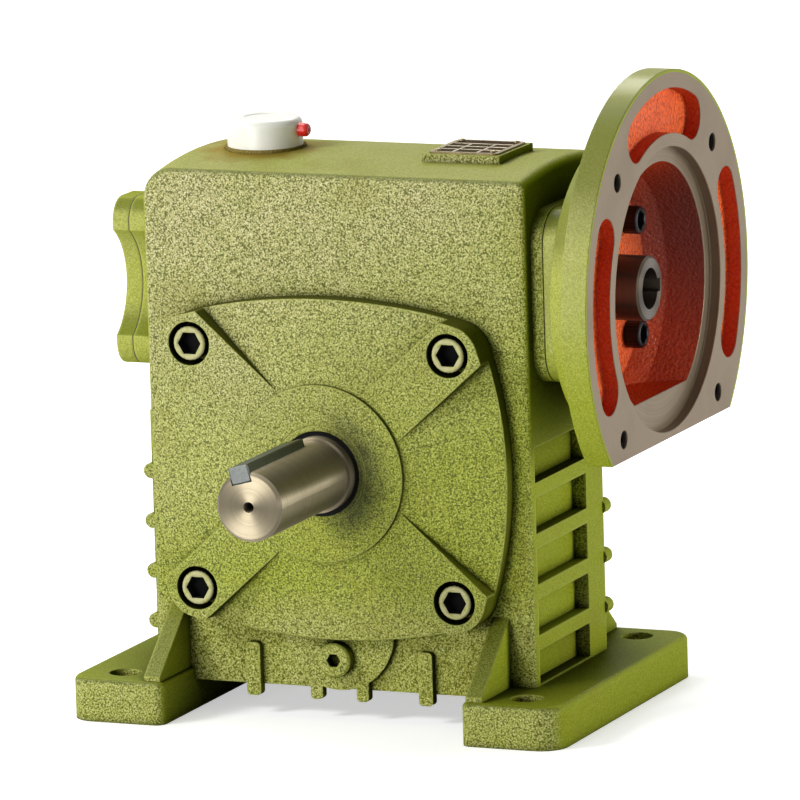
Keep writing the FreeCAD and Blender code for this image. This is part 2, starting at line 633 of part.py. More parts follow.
def make_cover(name, frame, is_open):
    disc = cylinder("cover_width", "cover_edge", z="cover_face")
    slope = solid("Cone", Radius1="cover_slope_diameter / 2", Radius2="cover_boss_diameter / 2",
                  Height="cover_thickness - cover_edge", Placement__Base__z="cover_face + cover_edge")
    arms = []
    for sign in ("", "-"):
        arm = solid("Box", Length="cover_width + cover_height", Width="arm_width", Height="cover_thickness")
        angle = sign + "atan(bolt_span_z / bolt_span_x)"
        reach = "(cover_width + cover_height) / 2"
        turn_about_z(arm, angle)
        bind(arm,
             Placement__Base__x="arm_width / 2 * sin(%s) - %s * cos(%s)" % (angle, reach, angle),
             Placement__Base__y="-arm_width / 2 * cos(%s) - %s * sin(%s)" % (angle, reach, angle),
             Placement__Base__z="cover_face")
        arms.append(arm)
    plate = common(cushion("cover_face", "cover_thickness"), fuse(disc, slope, *arms))
    boss = cylinder("cover_boss_diameter / 2", "cover_thickness + cover_boss_step", z="cover_face")
    spigot = "cover_bore / 2 - spigot_gap"
    hub = "output_outer / 2 + hub_wall"
    rings = turned(name + "_rings",
                   [("output_outer / 2", "spigot_end"), (hub, "spigot_end"),
                    (hub, "cover_face + weld"), ("output_outer / 2", "cover_face + weld")],
                   [(spigot + " - spigot_wall", "spigot_end"), (spigot, "spigot_end"),
                    (spigot, "cover_face + weld"), (spigot + " - spigot_wall", "cover_face + weld")])
    tools = [cylinder("output_outer / 2 + seat_gap", "output_seat - spigot_end", z="spigot_end"),
             bolt_cylinders("cover_screw + screw_gap", "cover_face", "cover_thickness"),
             bolt_cylinders("cover_counterbore", "cover_top - cover_screw_head_height",
                            "cover_screw_head_height + weld")]
    if is_open:
        tools.append(cylinder("cover_shaft_hole / 2", "cover_boss_top - spigot_end", z="spigot_end"))
        tools.append(cylinder("output_seal_outer / 2 + seat_gap", "output_seal_width + weld",
                              z="cover_boss_top - output_seal_width"))
    place(cut(fuse(plate, boss, rings), *tools), frame, name)
    sheet = cut(cushion("case_face", "gasket", "gasket_inset"),
                cylinder("cover_bore / 2", "gasket", z="case_face"),
                bolt_cylinders("cover_screw + screw_gap", "case_face", "gasket"))
    place(sheet, frame, name + "_gasket")
    screw = socket_screw(name + "_screw", "cover_screw", "bolt_span_x / 2", "bolt_span_z / 2",
                         "(cover_top - cover_screw_head_height)")
    place(in_four(screw), frame, name + "_screws")


# Cover at the blind end of the worm

def make_end_cover():
    body = new_body("worm_end_cover")
    lug_block(body, "end_cover_face + end_cover_thickness", "end_cover_thickness")
    spigot = new_sketch(body, "YZ_Plane", "-(end_cover_face + weld)")
    draw_circle(spigot, "0", "worm_height", "blind_outer - 2 * spigot_gap")
    pad(body, spigot, "end_cover_face + weld - blind_seat")
    relief = new_sketch(body, "YZ_Plane", "-blind_seat")
    draw_circle(relief, "0", "worm_height", "blind_outer - 2 * inner_boss_wall")
    pocket(body, relief, "end_cover_face - blind_seat")
    holes = new_sketch(body, "YZ_Plane", "-end_cover_face")
    for y in mirrored_pair("lug_bolt_place"):
        for z in mirrored_pair("lug_bolt_place"):
            draw_circle(holes, y, "worm_height + " + z, "lug_screw + screw_gap")
    pocket(body, holes, "end_cover_thickness")
    heads = new_sketch(body, "YZ_Plane", "lug_screw_head_height - end_cover_face - end_cover_thickness")
    for y in mirrored_pair("lug_bolt_place"):
        for z in mirrored_pair("lug_bolt_place"):
            draw_circle(heads, y, "worm_height + " + z, "lug_screw_head + 2 * screw_gap")
    pocket(body, heads, "lug_screw_head_height")
    place(body, "world", "worm_end_cover")

    sheet = new_body("worm_end_gasket")
    lug_block(sheet, "end_cover_face", "gasket")
    holes = new_sketch(sheet, "YZ_Plane", "-lug_end")
    draw_circle(holes, "0", "worm_height", "blind_outer + 2 * seat_gap")
    for y in mirrored_pair("lug_bolt_place"):
        for z in mirrored_pair("lug_bolt_place"):
            draw_circle(holes, y, "worm_height + " + z, "lug_screw + screw_gap")
    pocket(sheet, holes, "gasket")
    place(sheet, "world", "worm_end_gasket")

    screw = socket_screw("worm_end_screw", "lug_screw", "lug_bolt_place", "lug_bolt_place",
                         "(end_cover_face + end_cover_thickness - lug_screw_head_height)")
    place(in_four(screw), "left", "worm_end_screws")


# Motor flange

def kidney():
    """One blind kidney pocket centred on local -x, the top of the flange."""
    high, low = "kidney_depth + weld", "flange_face - kidney_depth"
    sector = solid("Cylinder", Radius="kidney_outer", Height=high, Angle="kidney_span")
    turn_about_z(sector, "180 - kidney_span / 2")
    bind(sector, Placement__Base__z=low)
    core = cylinder("kidney_inner", high, z=low)
    ends = []
    for sign in ("", "-"):
        middle = "-(kidney_inner + kidney_outer) / 2 * cos(kidney_span / 2)"
        aside = sign + "(kidney_inner + kidney_outer) / 2 * sin(kidney_span / 2)"
        ends.append(cylinder("(kidney_outer - kidney_inner) / 2", high, middle, aside, low))
    return fuse(cut(sector, core), *ends)


def boss_outline(body, offset, inset="0"):
    """A sketch of the motor boss's rounded square in the flange's local frame."""
    sketch = new_sketch(body, "XY_Plane", offset)
    half = "(boss_size / 2 - %s)" % inset
    draw_round_rectangle(sketch, "-" + half, half, "-" + half, half, "(boss_corner - %s)" % inset)
    return sketch


def make_flange():
    outline = [
        ("input_bore / 2 + flange_shaft_gap", "input_seat"), ("input_outer / 2 - spigot_gap", "input_seat"),
        ("input_outer / 2 - spigot_gap", "adapter_face"), ("boss_size / 2", "adapter_face"),
        ("boss_size / 2", "bell_start"), ("bell_knee_diameter / 2", "bell_knee"),
        ("bell_end_diameter / 2", "flange_face - flange_thickness"),
        ("flange_diameter / 2", "flange_face - flange_thickness"),
        ("flange_diameter / 2", "flange_face"), ("input_bore / 2 + flange_shaft_gap", "flange_face")]
    bell = turned("flange_bell", outline)
    neck = new_body("flange_neck")
    pad(neck, boss_outline(neck, "adapter_face"), "bell_knee - adapter_face")
    bore = new_sketch(neck, "XY_Plane", "adapter_face")
    draw_circle(bore, "0", "0", "input_bore + 2 * flange_shaft_gap")
    pocket(neck, bore, "bell_knee - adapter_face", along_normal=True)
    bowl = turned("flange_bowl", [
        ("0", "bowl_floor"), ("bowl_floor_diameter / 2", "bowl_floor"),
        ("bowl_knee_diameter / 2", "bowl_knee"),
        ("bowl_diameter / 2", "flange_face - pilot_depth"), ("0", "flange_face - pilot_depth")])
    keep = solid("Box", Length="flange_diameter", Width="flange_diameter", Height="flange_face",
                 Placement__Base__x="bowl_flat - flange_diameter", Placement__Base__y="-flange_diameter / 2")
    flat = solid("Box", Length="flange_diameter", Width="2 * flange_diameter", Height="2 * flange_face",
                 Placement__Base__x="flange_flat", Placement__Base__y="-flange_diameter")
    pilot = cylinder("pilot_diameter / 2", "pilot_depth + weld", z="flange_face - pilot_depth")
    place_on_circle = "flange_bolt_circle / 2 / sqrt(2)"
    threads = in_four(cylinder("flange_thread / 2", "flange_thickness + 2 * weld", place_on_circle,
                               place_on_circle, "flange_face - flange_thickness - weld"))
    holes = in_four(cylinder("flange_screw / 2 + screw_gap / 2", "bowl_floor - boss_end",
                             "adapter_bolt_place", "adapter_bolt_place", "boss_end"))
    seal = cylinder("input_seal_outer / 2 + seat_gap", "input_seal_width + weld",
                    z="bowl_floor - input_seal_width")
    relief = cylinder("flange_relief_diameter / 2", "adapter_face - input_seat", z="input_seat")
    kidneys = []
    for angle in (0, 90, -90):
        pocketed = kidney()
        pocketed.Placement = FreeCAD.Placement(V(), FreeCAD.Rotation(V(0, 0, 1), angle))
        kidneys.append(pocketed)
    flange = cut(fuse(bell, neck), common(bowl, keep), flat, pilot, threads, holes, seal, relief, *kidneys)
    place(flange, "right", "motor_flange")

    sheet = new_body("motor_flange_gasket")
    pad(sheet, boss_outline(sheet, "boss_end", "gasket_inset"), "gasket")
    openings = new_sketch(sheet, "XY_Plane", "adapter_face")
    draw_circle(openings, "0", "0", "input_outer + 2 * seat_gap")
    for x in mirrored_pair("adapter_bolt_place"):
        for y in mirrored_pair("adapter_bolt_place"):
            draw_circle(openings, x, y, "flange_screw + screw_gap")
    pocket(sheet, openings, "gasket")
    place(sheet, "right", "motor_flange_gasket")
    screw = socket_screw("motor_flange_screw", "flange_screw", "adapter_bolt_place", "adapter_bolt_place",
                         "bowl_floor")
    place(in_four(screw), "right", "motor_flange_screws")


# Output shaft with its keys, wheel and sleeve

def make_output_shaft():
    end = "shaft_diameter / 2"
    rear = "-(output_seat - shaft_end_gap)"
    body = turned("output_shaft", [
        ("0", rear),
        ("output_bore / 2 - seat_gap", rear),
        ("output_bore / 2 - seat_gap", "-hub_side"),
        ("wheel_seat / 2", "-hub_side"),
        ("wheel_seat / 2", "hub_side"),
        ("collar_diameter / 2", "hub_side"),
        ("collar_diameter / 2", "output_cone_back"),
        ("output_bore / 2 - seat_gap", "output_cone_back"),
        ("output_bore / 2 - seat_gap", "output_seat"),
        ("seal_journal / 2", "output_seat"),
        ("seal_journal / 2", "shaft_shoulder"),
        (end, "shaft_shoulder"),
        (end, "shaft_end - shaft_chamfer"),
        (end + " - shaft_chamfer", "shaft_end"),
        ("centre_hole / 2", "shaft_end"),
        ("0", "shaft_end - centre_hole_depth")])
    slot = new_sketch(body, "XY_Plane", "shaft_end", "key_angle")
    draw_rectangle(slot, end + " - key_depth", end + " + weld", "-key_width / 2", "key_width / 2")
    pocket(body, slot, "key_length")
    slot = new_sketch(body, "XY_Plane", "wheel_key_length / 2", "key_angle")
    draw_rectangle(slot, "wheel_seat / 2 - wheel_key_depth", "wheel_seat / 2 + weld",
                   "-wheel_key_width / 2", "wheel_key_width / 2")
    pocket(body, slot, "wheel_key_length")
    place(body, "front", "output_shaft")

    for name, seat, kind, start in (("output_key", end, "key", "shaft_end - key_length + key_gap"),
                                    ("wheel_key", "wheel_seat / 2", "wheel_key",
                                     "key_gap - wheel_key_length / 2")):
        key = new_body(name)
        section = new_sketch(key, "XY_Plane", start, "key_angle")
        low = "%s - %s_depth + key_gap" % (seat, kind)
        wide = "%s_width / 2 - key_gap" % kind
        draw_rectangle(section, low, "%s + %s_height" % (low, kind), "-(%s)" % wide, wide)
        pad(key, section, kind + "_length - 2 * key_gap")
        place(key, "front", name)
    place(tube("spacer", "output_bore / 2 + seat_gap", "collar_diameter / 2", "hub_side", "output_cone_back"),
          "rear", "spacer_sleeve")


def make_wheel():
    seat = "wheel_seat / 2 + seat_gap"
    half = "rim_width / 2"
    hub = turned("wheel_hub", [
        (seat, "-hub_side"), ("hub_diameter / 2", "-hub_side"), ("hub_diameter / 2", "-(%s)" % half),
        ("rim_bore / 2", "-(%s)" % half), ("rim_bore / 2", half), ("hub_flange_diameter / 2", half),
        ("hub_flange_diameter / 2", half + " + hub_flange_thickness"),
        ("hub_diameter / 2", half + " + hub_flange_thickness"), ("hub_diameter / 2", "hub_side"),
        (seat, "hub_side")])
    slot = new_sketch(hub, "XY_Plane", "hub_side", "key_angle")
    draw_rectangle(slot, "wheel_seat / 2 - wheel_key_depth",
                   "wheel_seat / 2 - wheel_key_depth + wheel_key_height + key_top_gap",
                   "-wheel_key_width / 2", "wheel_key_width / 2")
    pocket(hub, slot, "hub_length")
    holes = new_sketch(hub, "XY_Plane", half + " + hub_flange_thickness")
    draw_circle(holes, "rim_bolt_circle / 2", "0", "rim_screw + screw_gap")
    hole = pocket(hub, holes, "hub_flange_thickness")
    polar(hub, [hole], "rim_screw_count")
    place(hub, "front", "wheel_hub")

    rim = tube("wheel_rim", "rim_bore / 2 + seat_gap", "root_radius", "-(%s)" % half, half)
    sections = []
    for sign in ("-", ""):
        turn = "180 / wheel_teeth + %srim_twist" % (sign or "1 * ")
        section = new_sketch(rim, "XY_Plane", sign + "(%s)" % half, turn)
        root = "tooth_half + (pitch_radius - root_radius) * tan(tooth_root_angle)"
        tip = "tooth_half - gear_module * tan(tooth_tip_angle)"
        draw_outline(section, [
            ("root_radius - weld", "-(%s)" % root), ("root_radius", "-(%s)" % root),
            ("pitch_radius", "-tooth_half"), ("tip_radius", "-(%s)" % tip),
            ("tip_radius", tip), ("pitch_radius", "tooth_half"),
            ("root_radius", root), ("root_radius - weld", root)])
        sections.append(section)
    tooth = add(rim, "AdditiveLoft", sections[0])
    tooth.Sections = [(sections[1], [""])]
    tooth.Ruled = True
    polar(rim, [tooth], "wheel_teeth")
    holes = new_sketch(rim, "XY_Plane", half)
    draw_circle(holes, "rim_bolt_circle / 2", "0", "rim_screw")
    hole = pocket(rim, holes, "rim_screw_length - hub_flange_thickness + screw_end_gap")
    polar(rim, [hole], "rim_screw_count")
    place(rim, "front", "wheel_rim")

    screw = socket_screw("rim_screw", "rim_screw", "rim_bolt_circle / 2", "0",
                         "(rim_width / 2 + hub_flange_thickness)")
    copies = []
    for step in range(SIZES["rim_screw_count"]):
        link = doc.addObject("Part::Compound", "RimScrew")
        link.Links = [screw]
        turn_about_z(link, "%d * 360 / rim_screw_count" % step)
        copies.append(link)
    place(compound(*copies), "front", "wheel_rim_screws")


# Worm shaft with its hollow input end

def make_worm_shaft():
    left = "-(blind_seat - shaft_end_gap)"
    thread_end = "(worm_turns / 2 * lead + root_run_out)"
    slope_end = "(worm_turns / 2 * lead + root_run_out + root_slope)"
    body = turned("worm_shaft", [
        ("0", left), ("blind_bore / 2 - seat_gap", left), ("blind_bore / 2 - seat_gap", "-blind_cone_back"),
        ("worm_core / 2", "-blind_cone_back"), ("worm_core / 2", "-" + slope_end),
        ("worm_root_radius", "-" + thread_end), ("worm_root_radius", thread_end),
        ("worm_core / 2", slope_end), ("worm_core / 2", "input_cone_back"),
        ("input_bore / 2 - seat_gap", "input_cone_back"),
        ("input_bore / 2 - seat_gap", "input_end - hollow_chamfer"),
        ("input_bore / 2 - hollow_chamfer", "input_end"), ("motor_bore / 2", "input_end"),
        ("motor_bore / 2", "input_end - motor_bore_depth"),
        ("0", "input_end - motor_bore_depth - drill_point")])
    profile = new_sketch(body, "XZ_Plane")
    start = "-worm_turns / 2 * lead"
    deep = "worm_root_radius - thread_sink"
    low = "tooth_half + (worm_pitch_radius - worm_root_radius + thread_sink) * tan(pressure_angle)"
    high = "tooth_half - gear_module * tan(pressure_angle)"
    draw_outline(profile, [
        (deep, "%s - (%s)" % (start, low)), ("worm_tip_radius", "%s - (%s)" % (start, high)),
        ("worm_tip_radius", "%s + %s" % (start, high)), (deep, "%s + %s" % (start, low))])
    thread = add(body, "AdditiveHelix", profile, Pitch="lead", Height="worm_turns * lead")
    thread.ReferenceAxis = (profile, ["V_Axis"])
    thread.Mode = "pitch-height-angle"
    polar(body, [thread], "worm_starts")
    slot = new_sketch(body, "XY_Plane", "input_end")
    draw_rectangle(slot, "-motor_key_width / 2", "motor_key_width / 2",
                   "0", "motor_bore / 2 + motor_key_depth")
    pocket(body, slot, "motor_bore_depth")
    place(body, "right", "worm_shaft")


# Tapered roller bearings

def make_bearing(label, kind, frame):
    """Cup, cone and rollers; the cup's back lies outward at the seat."""
    size = {word: kind + "_" + word for word in ("bore", "outer", "width", "cone", "cup", "seat", "rollers")}
    middle_r = "(%(bore)s + %(outer)s) / 4" % size
    middle_z = "(%(seat)s - %(width)s / 2)" % size
    roller = "roller_share * (%(outer)s - %(bore)s) / 4" % size
    length = "roller_length_share * %(width)s" % size

    def race(z, sign, angle):
        lean = "(cos(roller_angle) + sin(roller_angle) * tan(%s))" % angle
        away = "%s (%s * %s + running_gap)" % (sign, roller, lean)
        return "%s %s + (%s - (%s)) * tan(%s)" % (middle_r, away, middle_z, z, angle)

    cup_angle = "roller_angle + roller_taper"
    front = "%(seat)s - %(cup)s" % size
    cup = turned(label + "_cup", [
        ("%(outer)s / 2" % size, front), ("%(outer)s / 2" % size, size["seat"]),
        (race(size["seat"], "+", cup_angle), size["seat"]), (race(front, "+", cup_angle), front)])
    place(cup, frame, label + "_cup")
    cone_angle = "roller_angle - roller_taper"
    back = "%(seat)s - %(width)s" % size
    nose = "%s + %s" % (back, size["cone"])
    taper = "(%s) / 2 * tan(roller_taper)" % length
    small, large = "(%s - %s)" % (roller, taper), "(%s + %s)" % (roller, taper)
    rib_parts = (middle_z, length, large)
    rib = "%s - (%s) / 2 * cos(roller_angle) - %s * sin(roller_angle) - running_gap" % rib_parts
    cone = turned(label + "_cone", [
        ("%(bore)s / 2" % size, back), ("%s + %s / 2" % (middle_r, roller), back),
        ("%s + %s / 2" % (middle_r, roller), rib), (race(rib, "-", cone_angle), rib),
        (race(nose, "-", cone_angle), nose), ("%(bore)s / 2" % size, nose)])
    place(cone, frame, label + "_cone")

    body = new_body(label + "_rollers")
    sketch = new_sketch(body, "XZ_Plane")

    def along(share, across):
        radial = "%s + (%s) * %s * sin(roller_angle) + (%s) * cos(roller_angle)"
        axial = "%s - (%s) * %s * cos(roller_angle) + (%s) * sin(roller_angle)"
        return (radial % (middle_r, length, share, across), axial % (middle_z, length, share, across))

    draw_axis(sketch, along("(-0.5)", "0"), along("0.5", "0"))
    draw_outline(sketch, [along("(-0.5)", "0"), along("0.5", "0"),
                          along("0.5", large), along("(-0.5)", small)])
    one = revolve(body, sketch, "Axis0")
    polar(body, [one], size["rollers"])
    place(body, frame, label + "_rollers")


# Seals, cap, plugs and plate

def make_seal(label, frame, shaft, kind, face):
    outer = kind + "_outer"
    low = "%s - %s_width" % (face, kind)
    lip = shaft + " / 2 + running_gap"
    place(turned(label, [
        (lip, low), (lip + " + seal_lip_wall", low), (lip + " + seal_lip_wall", face + " - seal_web"),
        (outer + " / 2 - seal_lip_wall", face + " - seal_web"), (outer + " / 2 - seal_lip_wall", low),
        (outer + " / 2", low), (outer + " / 2", face), (lip, face)]), frame, label)


def make_trim():
    stem = "filler_diameter / 2 - spigot_gap"
    top = "filler_top + cap_height"
    cap = turned("filler_cap", [
        ("0", "filler_top - cap_stem"), (stem, "filler_top - cap_stem"), (stem, "filler_top"),
        ("cap_diameter / 2", "filler_top"), ("cap_diameter / 2", top + " - cap_round"),
        ("cap_diameter / 2 - cap_round", top), ("0", top)])
    side = new_sketch(cap, "YZ_Plane", "cap_diameter / 2 + weld")
    draw_circle(side, "0", "filler_top + vent_height", "vent_diameter")
    pocket(cap, side, "vent_depth + weld")
    place(cap, "world", "filler_cap")
    bind(cap, Placement__Base__x="-filler_place")
    vent = new_body("vent_plug")
    side = new_sketch(vent, "YZ_Plane", "cap_diameter / 2 - vent_depth")
    draw_circle(side, "0", "filler_top + vent_height", "vent_diameter - 2 * seat_gap")
    pad(vent, side, "vent_depth + vent_proud")
    place(vent, "world", "vent_plug")
    bind(vent, Placement__Base__x="-filler_place")

    shank = "drain_diameter / 2 - screw_gap / 2"
    drain = turned("drain_plug", [
        ("0", "cavity_face"), (shank, "cavity_face"), (shank, "sump_face"), ("plug_head / 2", "sump_face"),
        ("plug_head / 2", "sump_face + plug_proud - plug_chamfer"),
        ("plug_head / 2 - plug_chamfer", "sump_face + plug_proud"),
        ("0", "sump_face + plug_proud")])
    socket = new_sketch(drain, "XY_Plane", "sump_face + plug_proud")
    draw_outline(socket, hexagon("0", "0", "plug_hex"))
    pocket(drain, socket, "plug_hex_depth")
    place(drain, "front", "drain_plug")
    bind(drain, Placement__Base__z="drain_height")

    plate = new_body("nameplate")
    outline = new_sketch(plate, "XY_Plane", "plate_top")
    draw_rectangle(outline, "plate_margin - plate_length / 2", "plate_length / 2 - plate_margin",
                   "plate_margin - plate_width / 2", "plate_width / 2 - plate_margin")
    pad(plate, outline, "plate_thickness")
    place(plate, "world", "nameplate")
    bind(plate, Placement__Base__x="plate_place")
    rivet = new_body("rivet")
    section = new_sketch(rivet, "XY_Plane", "plate_top + plate_thickness")
    draw_circle(section, "plate_length / 2 - plate_margin - rivet_inset",
                "plate_width / 2 - plate_margin - rivet_inset", "rivet_diameter")
    pad(rivet, section, "rivet_height")
    rivets = place(in_four(rivet), "world", "nameplate_rivets")
    bind(rivets, Placement__Base__x="plate_place")


def write_parts():
    doc.recompute()
    failed = [thing.Label for thing in doc.Objects if {"Invalid", "Error"} & set(thing.State)]
    if failed:
        raise RuntimeError("not built: " + ", ".join(failed))
    for thing in parts:
        if thing.Shape.isNull() or not thing.Shape.isValid():
            raise RuntimeError("bad shape: " + thing.Label)
    os.makedirs("parts", exist_ok=True)
    for thing in parts:
        thing.Shape.exportStep("parts/%s.step" % thing.Label)


fill_sheet()
make_case()
make_cover("output_cover", "front", True)
make_cover("rear_cover", "rear", False)
make_end_cover()
make_flange()
make_output_shaft()
make_wheel()
make_worm_shaft()
make_bearing("front_bearing", "output", "front")
make_bearing("rear_bearing", "output", "rear")
make_bearing("input_bearing", "input", "right")
make_bearing("blind_bearing", "blind", "left")
make_seal("output_shaft_seal", "front", "seal_journal", "output_seal", "cover_boss_top")
make_seal("input_shaft_seal", "right", "input_bore", "input_seal", "bowl_floor")
make_trim()
write_parts()
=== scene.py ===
"""Finishes, small parts and studio of a foot-mounted worm gear reducer, in metres, around its CAD frame."""

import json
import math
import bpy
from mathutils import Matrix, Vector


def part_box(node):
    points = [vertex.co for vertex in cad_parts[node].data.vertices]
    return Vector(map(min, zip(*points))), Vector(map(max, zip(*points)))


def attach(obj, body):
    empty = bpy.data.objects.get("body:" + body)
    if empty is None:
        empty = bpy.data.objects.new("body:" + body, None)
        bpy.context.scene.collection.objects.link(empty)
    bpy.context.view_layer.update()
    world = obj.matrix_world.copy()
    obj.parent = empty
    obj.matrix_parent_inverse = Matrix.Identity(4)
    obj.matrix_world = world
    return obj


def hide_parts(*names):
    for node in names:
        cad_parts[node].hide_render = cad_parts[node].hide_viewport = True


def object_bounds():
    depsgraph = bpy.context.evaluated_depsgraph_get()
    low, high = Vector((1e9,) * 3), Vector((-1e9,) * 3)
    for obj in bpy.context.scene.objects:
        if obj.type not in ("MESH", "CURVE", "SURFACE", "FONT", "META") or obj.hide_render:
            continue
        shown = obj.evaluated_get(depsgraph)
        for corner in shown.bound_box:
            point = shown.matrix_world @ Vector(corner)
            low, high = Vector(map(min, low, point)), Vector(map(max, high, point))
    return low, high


bl_info = {
    "name": "Worm Gear Reducer Finish",
    "version": (1, 0, 0),
    "blender": (4, 5, 0),
    "location": "View3D > Sidebar > Reducer",
    "description": "Paint, metals, small parts and a studio for the worm gear reducer",
    "category": "Object",
}

import bmesh
import bpy
from bpy.props import FloatProperty, FloatVectorProperty, IntProperty, PointerProperty
from bpy.types import Operator, Panel, PropertyGroup
from mathutils import Color, Matrix, Vector

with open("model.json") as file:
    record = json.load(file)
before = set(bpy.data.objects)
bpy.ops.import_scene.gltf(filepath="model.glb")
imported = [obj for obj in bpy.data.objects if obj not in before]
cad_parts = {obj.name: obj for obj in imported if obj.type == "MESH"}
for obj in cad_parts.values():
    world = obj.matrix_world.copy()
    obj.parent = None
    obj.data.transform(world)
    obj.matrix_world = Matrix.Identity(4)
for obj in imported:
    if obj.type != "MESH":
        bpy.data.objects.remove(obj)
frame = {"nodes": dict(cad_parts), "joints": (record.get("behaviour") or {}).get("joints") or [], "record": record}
NODES = frame["nodes"]
CAD_BOX = [list(corner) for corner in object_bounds()]

PLACES = {joint["name"]: Vector(joint["pos_m"]) for joint in frame["joints"]}
WHEEL_AXIS = PLACES["output_spin"]
WORM_AXIS = PLACES["worm_spin"]
FRONT = Vector((0, -1, 0))
REAR = Vector((0, 1, 0))
LEFT = Vector((-1, 0, 0))
RIGHT = Vector((1, 0, 0))
UP = Vector((0, 0, 1))

# Where the flange's finishes meet, as radii from the worm's axis and as places along it
FLANGE_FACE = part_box("motor_flange")[1].x - WORM_AXIS.x
BOWL_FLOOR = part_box("input_shaft_seal")[1].x - WORM_AXIS.x
BOWL_ALONG = (BOWL_FLOOR - 0.0005, FLANGE_FACE - 0.0052)
BOWL_RADIUS = 0.052
BOWL_SLOPE = 0.47
POCKET_ALONG = (FLANGE_FACE - 0.0075, FLANGE_FACE - 0.0003)
POCKET_RADII = (0.0700, 0.0926)
POCKET_SPAN = 0.051
FACE_RADIUS = 0.0985
# The worm's end boss, which is smoother than the case, lies left of and above these
END_BOSS_SIDE = -0.0918
END_BOSS_FOOT = 0.12

ROUND_STEPS = 64
SCREW_STEPS = 48
THREAD_STEPS = 20
DOME_STEPS = 6
PLATE_FLOOR = 0.7
FLOOR_HALF = 12.0

# Name, place, width and power in watts
LAMPS = (
    ("key_lamp", (-0.95, -1.00, 1.10), 0.5, 17.0),
    ("front_fill", (-0.55, -2.10, 0.20), 0.7, 31.0),
    ("top_lamp", (-0.80, 0.50, 1.30), 0.8, 10.0),
    ("side_lamp", (1.80, 0.55, 0.28), 0.5, 18.0),
    ("rear_fill", (-0.40, 1.60, 1.50), 0.8, 14.0),
)


# Settings

def colour(name, text, srgb):
    return FloatVectorProperty(
        name=name, description=text, subtype="COLOR_GAMMA", size=3, min=0, max=1, default=srgb)


def distance(name, text, metres):
    return FloatProperty(
        name=name, description=text, subtype="DISTANCE", unit="LENGTH", precision=5, default=metres)


def share(name, text, value):
    return FloatProperty(name=name, description=text, subtype="FACTOR", min=0, max=1, default=value)


def degrees(name, text, value):
    return FloatProperty(
        name=name, description=text, subtype="ANGLE", unit="ROTATION", default=math.radians(value))


class ReducerPaint(PropertyGroup):
    """Hammered green outside, red inside the motor flange."""
    green: colour("Green", "Body of the hammered paint", (0.57, 0.61, 0.15))
    # The next two colours paint shade in the grain's hollows and glints on its domes; the second also lightens
    # edges, partly wear and partly a painted highlight.
    green_hollow_shade: colour("Green pits", "Paint in the hollows of the grain", (0.33, 0.36, 0.05))
    green_glint_and_wear: colour("Green peaks", "Paint on the grain's peaks and on worn edges", (0.75, 0.77, 0.38))
    stain: colour("Stain", "Old oil and rubbed paint", (0.50, 0.42, 0.14))
    # The next three colours are a painted sheen: paler paint where the light from the upper left would shine, with
    # its own hollows and glints.
    painted_sheen: colour("Bleached", "Paint dulled by light and dust, high on the faces", (0.71, 0.69, 0.46))
    painted_sheen_hollow: colour("Bleached pits", "Dulled paint in the hollows", (0.36, 0.37, 0.15))
    painted_sheen_glint: colour("Bleached peaks", "Dulled paint on the peaks", (0.90, 0.87, 0.73))
    spilt_oil: colour("Spilt oil", "Brown film round the filler cap", (0.55, 0.43, 0.08))
    # The next colour is painted shade in corners, deep places, screw sockets, on the feet and the covers' sides,
    # and beside the shaft a painted shadow with some oil.
    shade_and_grime: colour("Grime", "Dirt in the corners and deep places", (0.12, 0.13, 0.03))
    red: colour("Red", "Oil-proof paint in the bowl and the pockets", (0.97, 0.43, 0.19))
    # The next colour paints shade in the red grain's hollows and is also the red's real stain.
    red_shade_and_stain: colour("Red pits", "Red paint in the hollows", (0.80, 0.29, 0.12))
    # The next colour is painted shade on walls turned away from the side lamp.
    red_wall_shade: colour("Red walls", "Thick red paint on the bowl's and the pockets' walls", (0.74, 0.24, 0.10))
    # The next colour is painted shade high at the back of the bowl.
    red_bowl_shade: colour("Red grime", "Dirty red paint, high at the back of the bowl", (0.32, 0.11, 0.07))
    sprayed_head: colour("Sprayed head", "Thin paint on the screw heads", (0.69, 0.68, 0.49))
    grain: distance("Grain", "Width of one bump of the hammered paint", 0.0009)
    grain_depth: distance("Grain depth", "Height of the bumps", 0.0006)
    edge: distance("Edge", "Radius of the paint over a cast edge", 0.0018)
    corner_reach: distance("Corner reach", "How far grime spreads from a corner", 0.007)
    # The next reach sets painted shade in deep places.
    deep_shade_reach: distance("Deep reach", "How far apart the walls of a deep, dirty place may be", 0.07)
    # The next height bounds painted shade on the feet.
    foot_shade_height: distance("Foot dirt", "Height up to which dirt settles on the feet", 0.022)
    # The next share sets painted shade on the covers' sides.
    cover_side_shade: share("Edge grime", "Dirt on the edges of the covers", 0.7)
    flange_grain: share("Flange grain", "Grain on the motor flange, against the case", 0.3)
    side_grain: share("Side grain", "Grain on the sides and tops, against the front", 0.25)


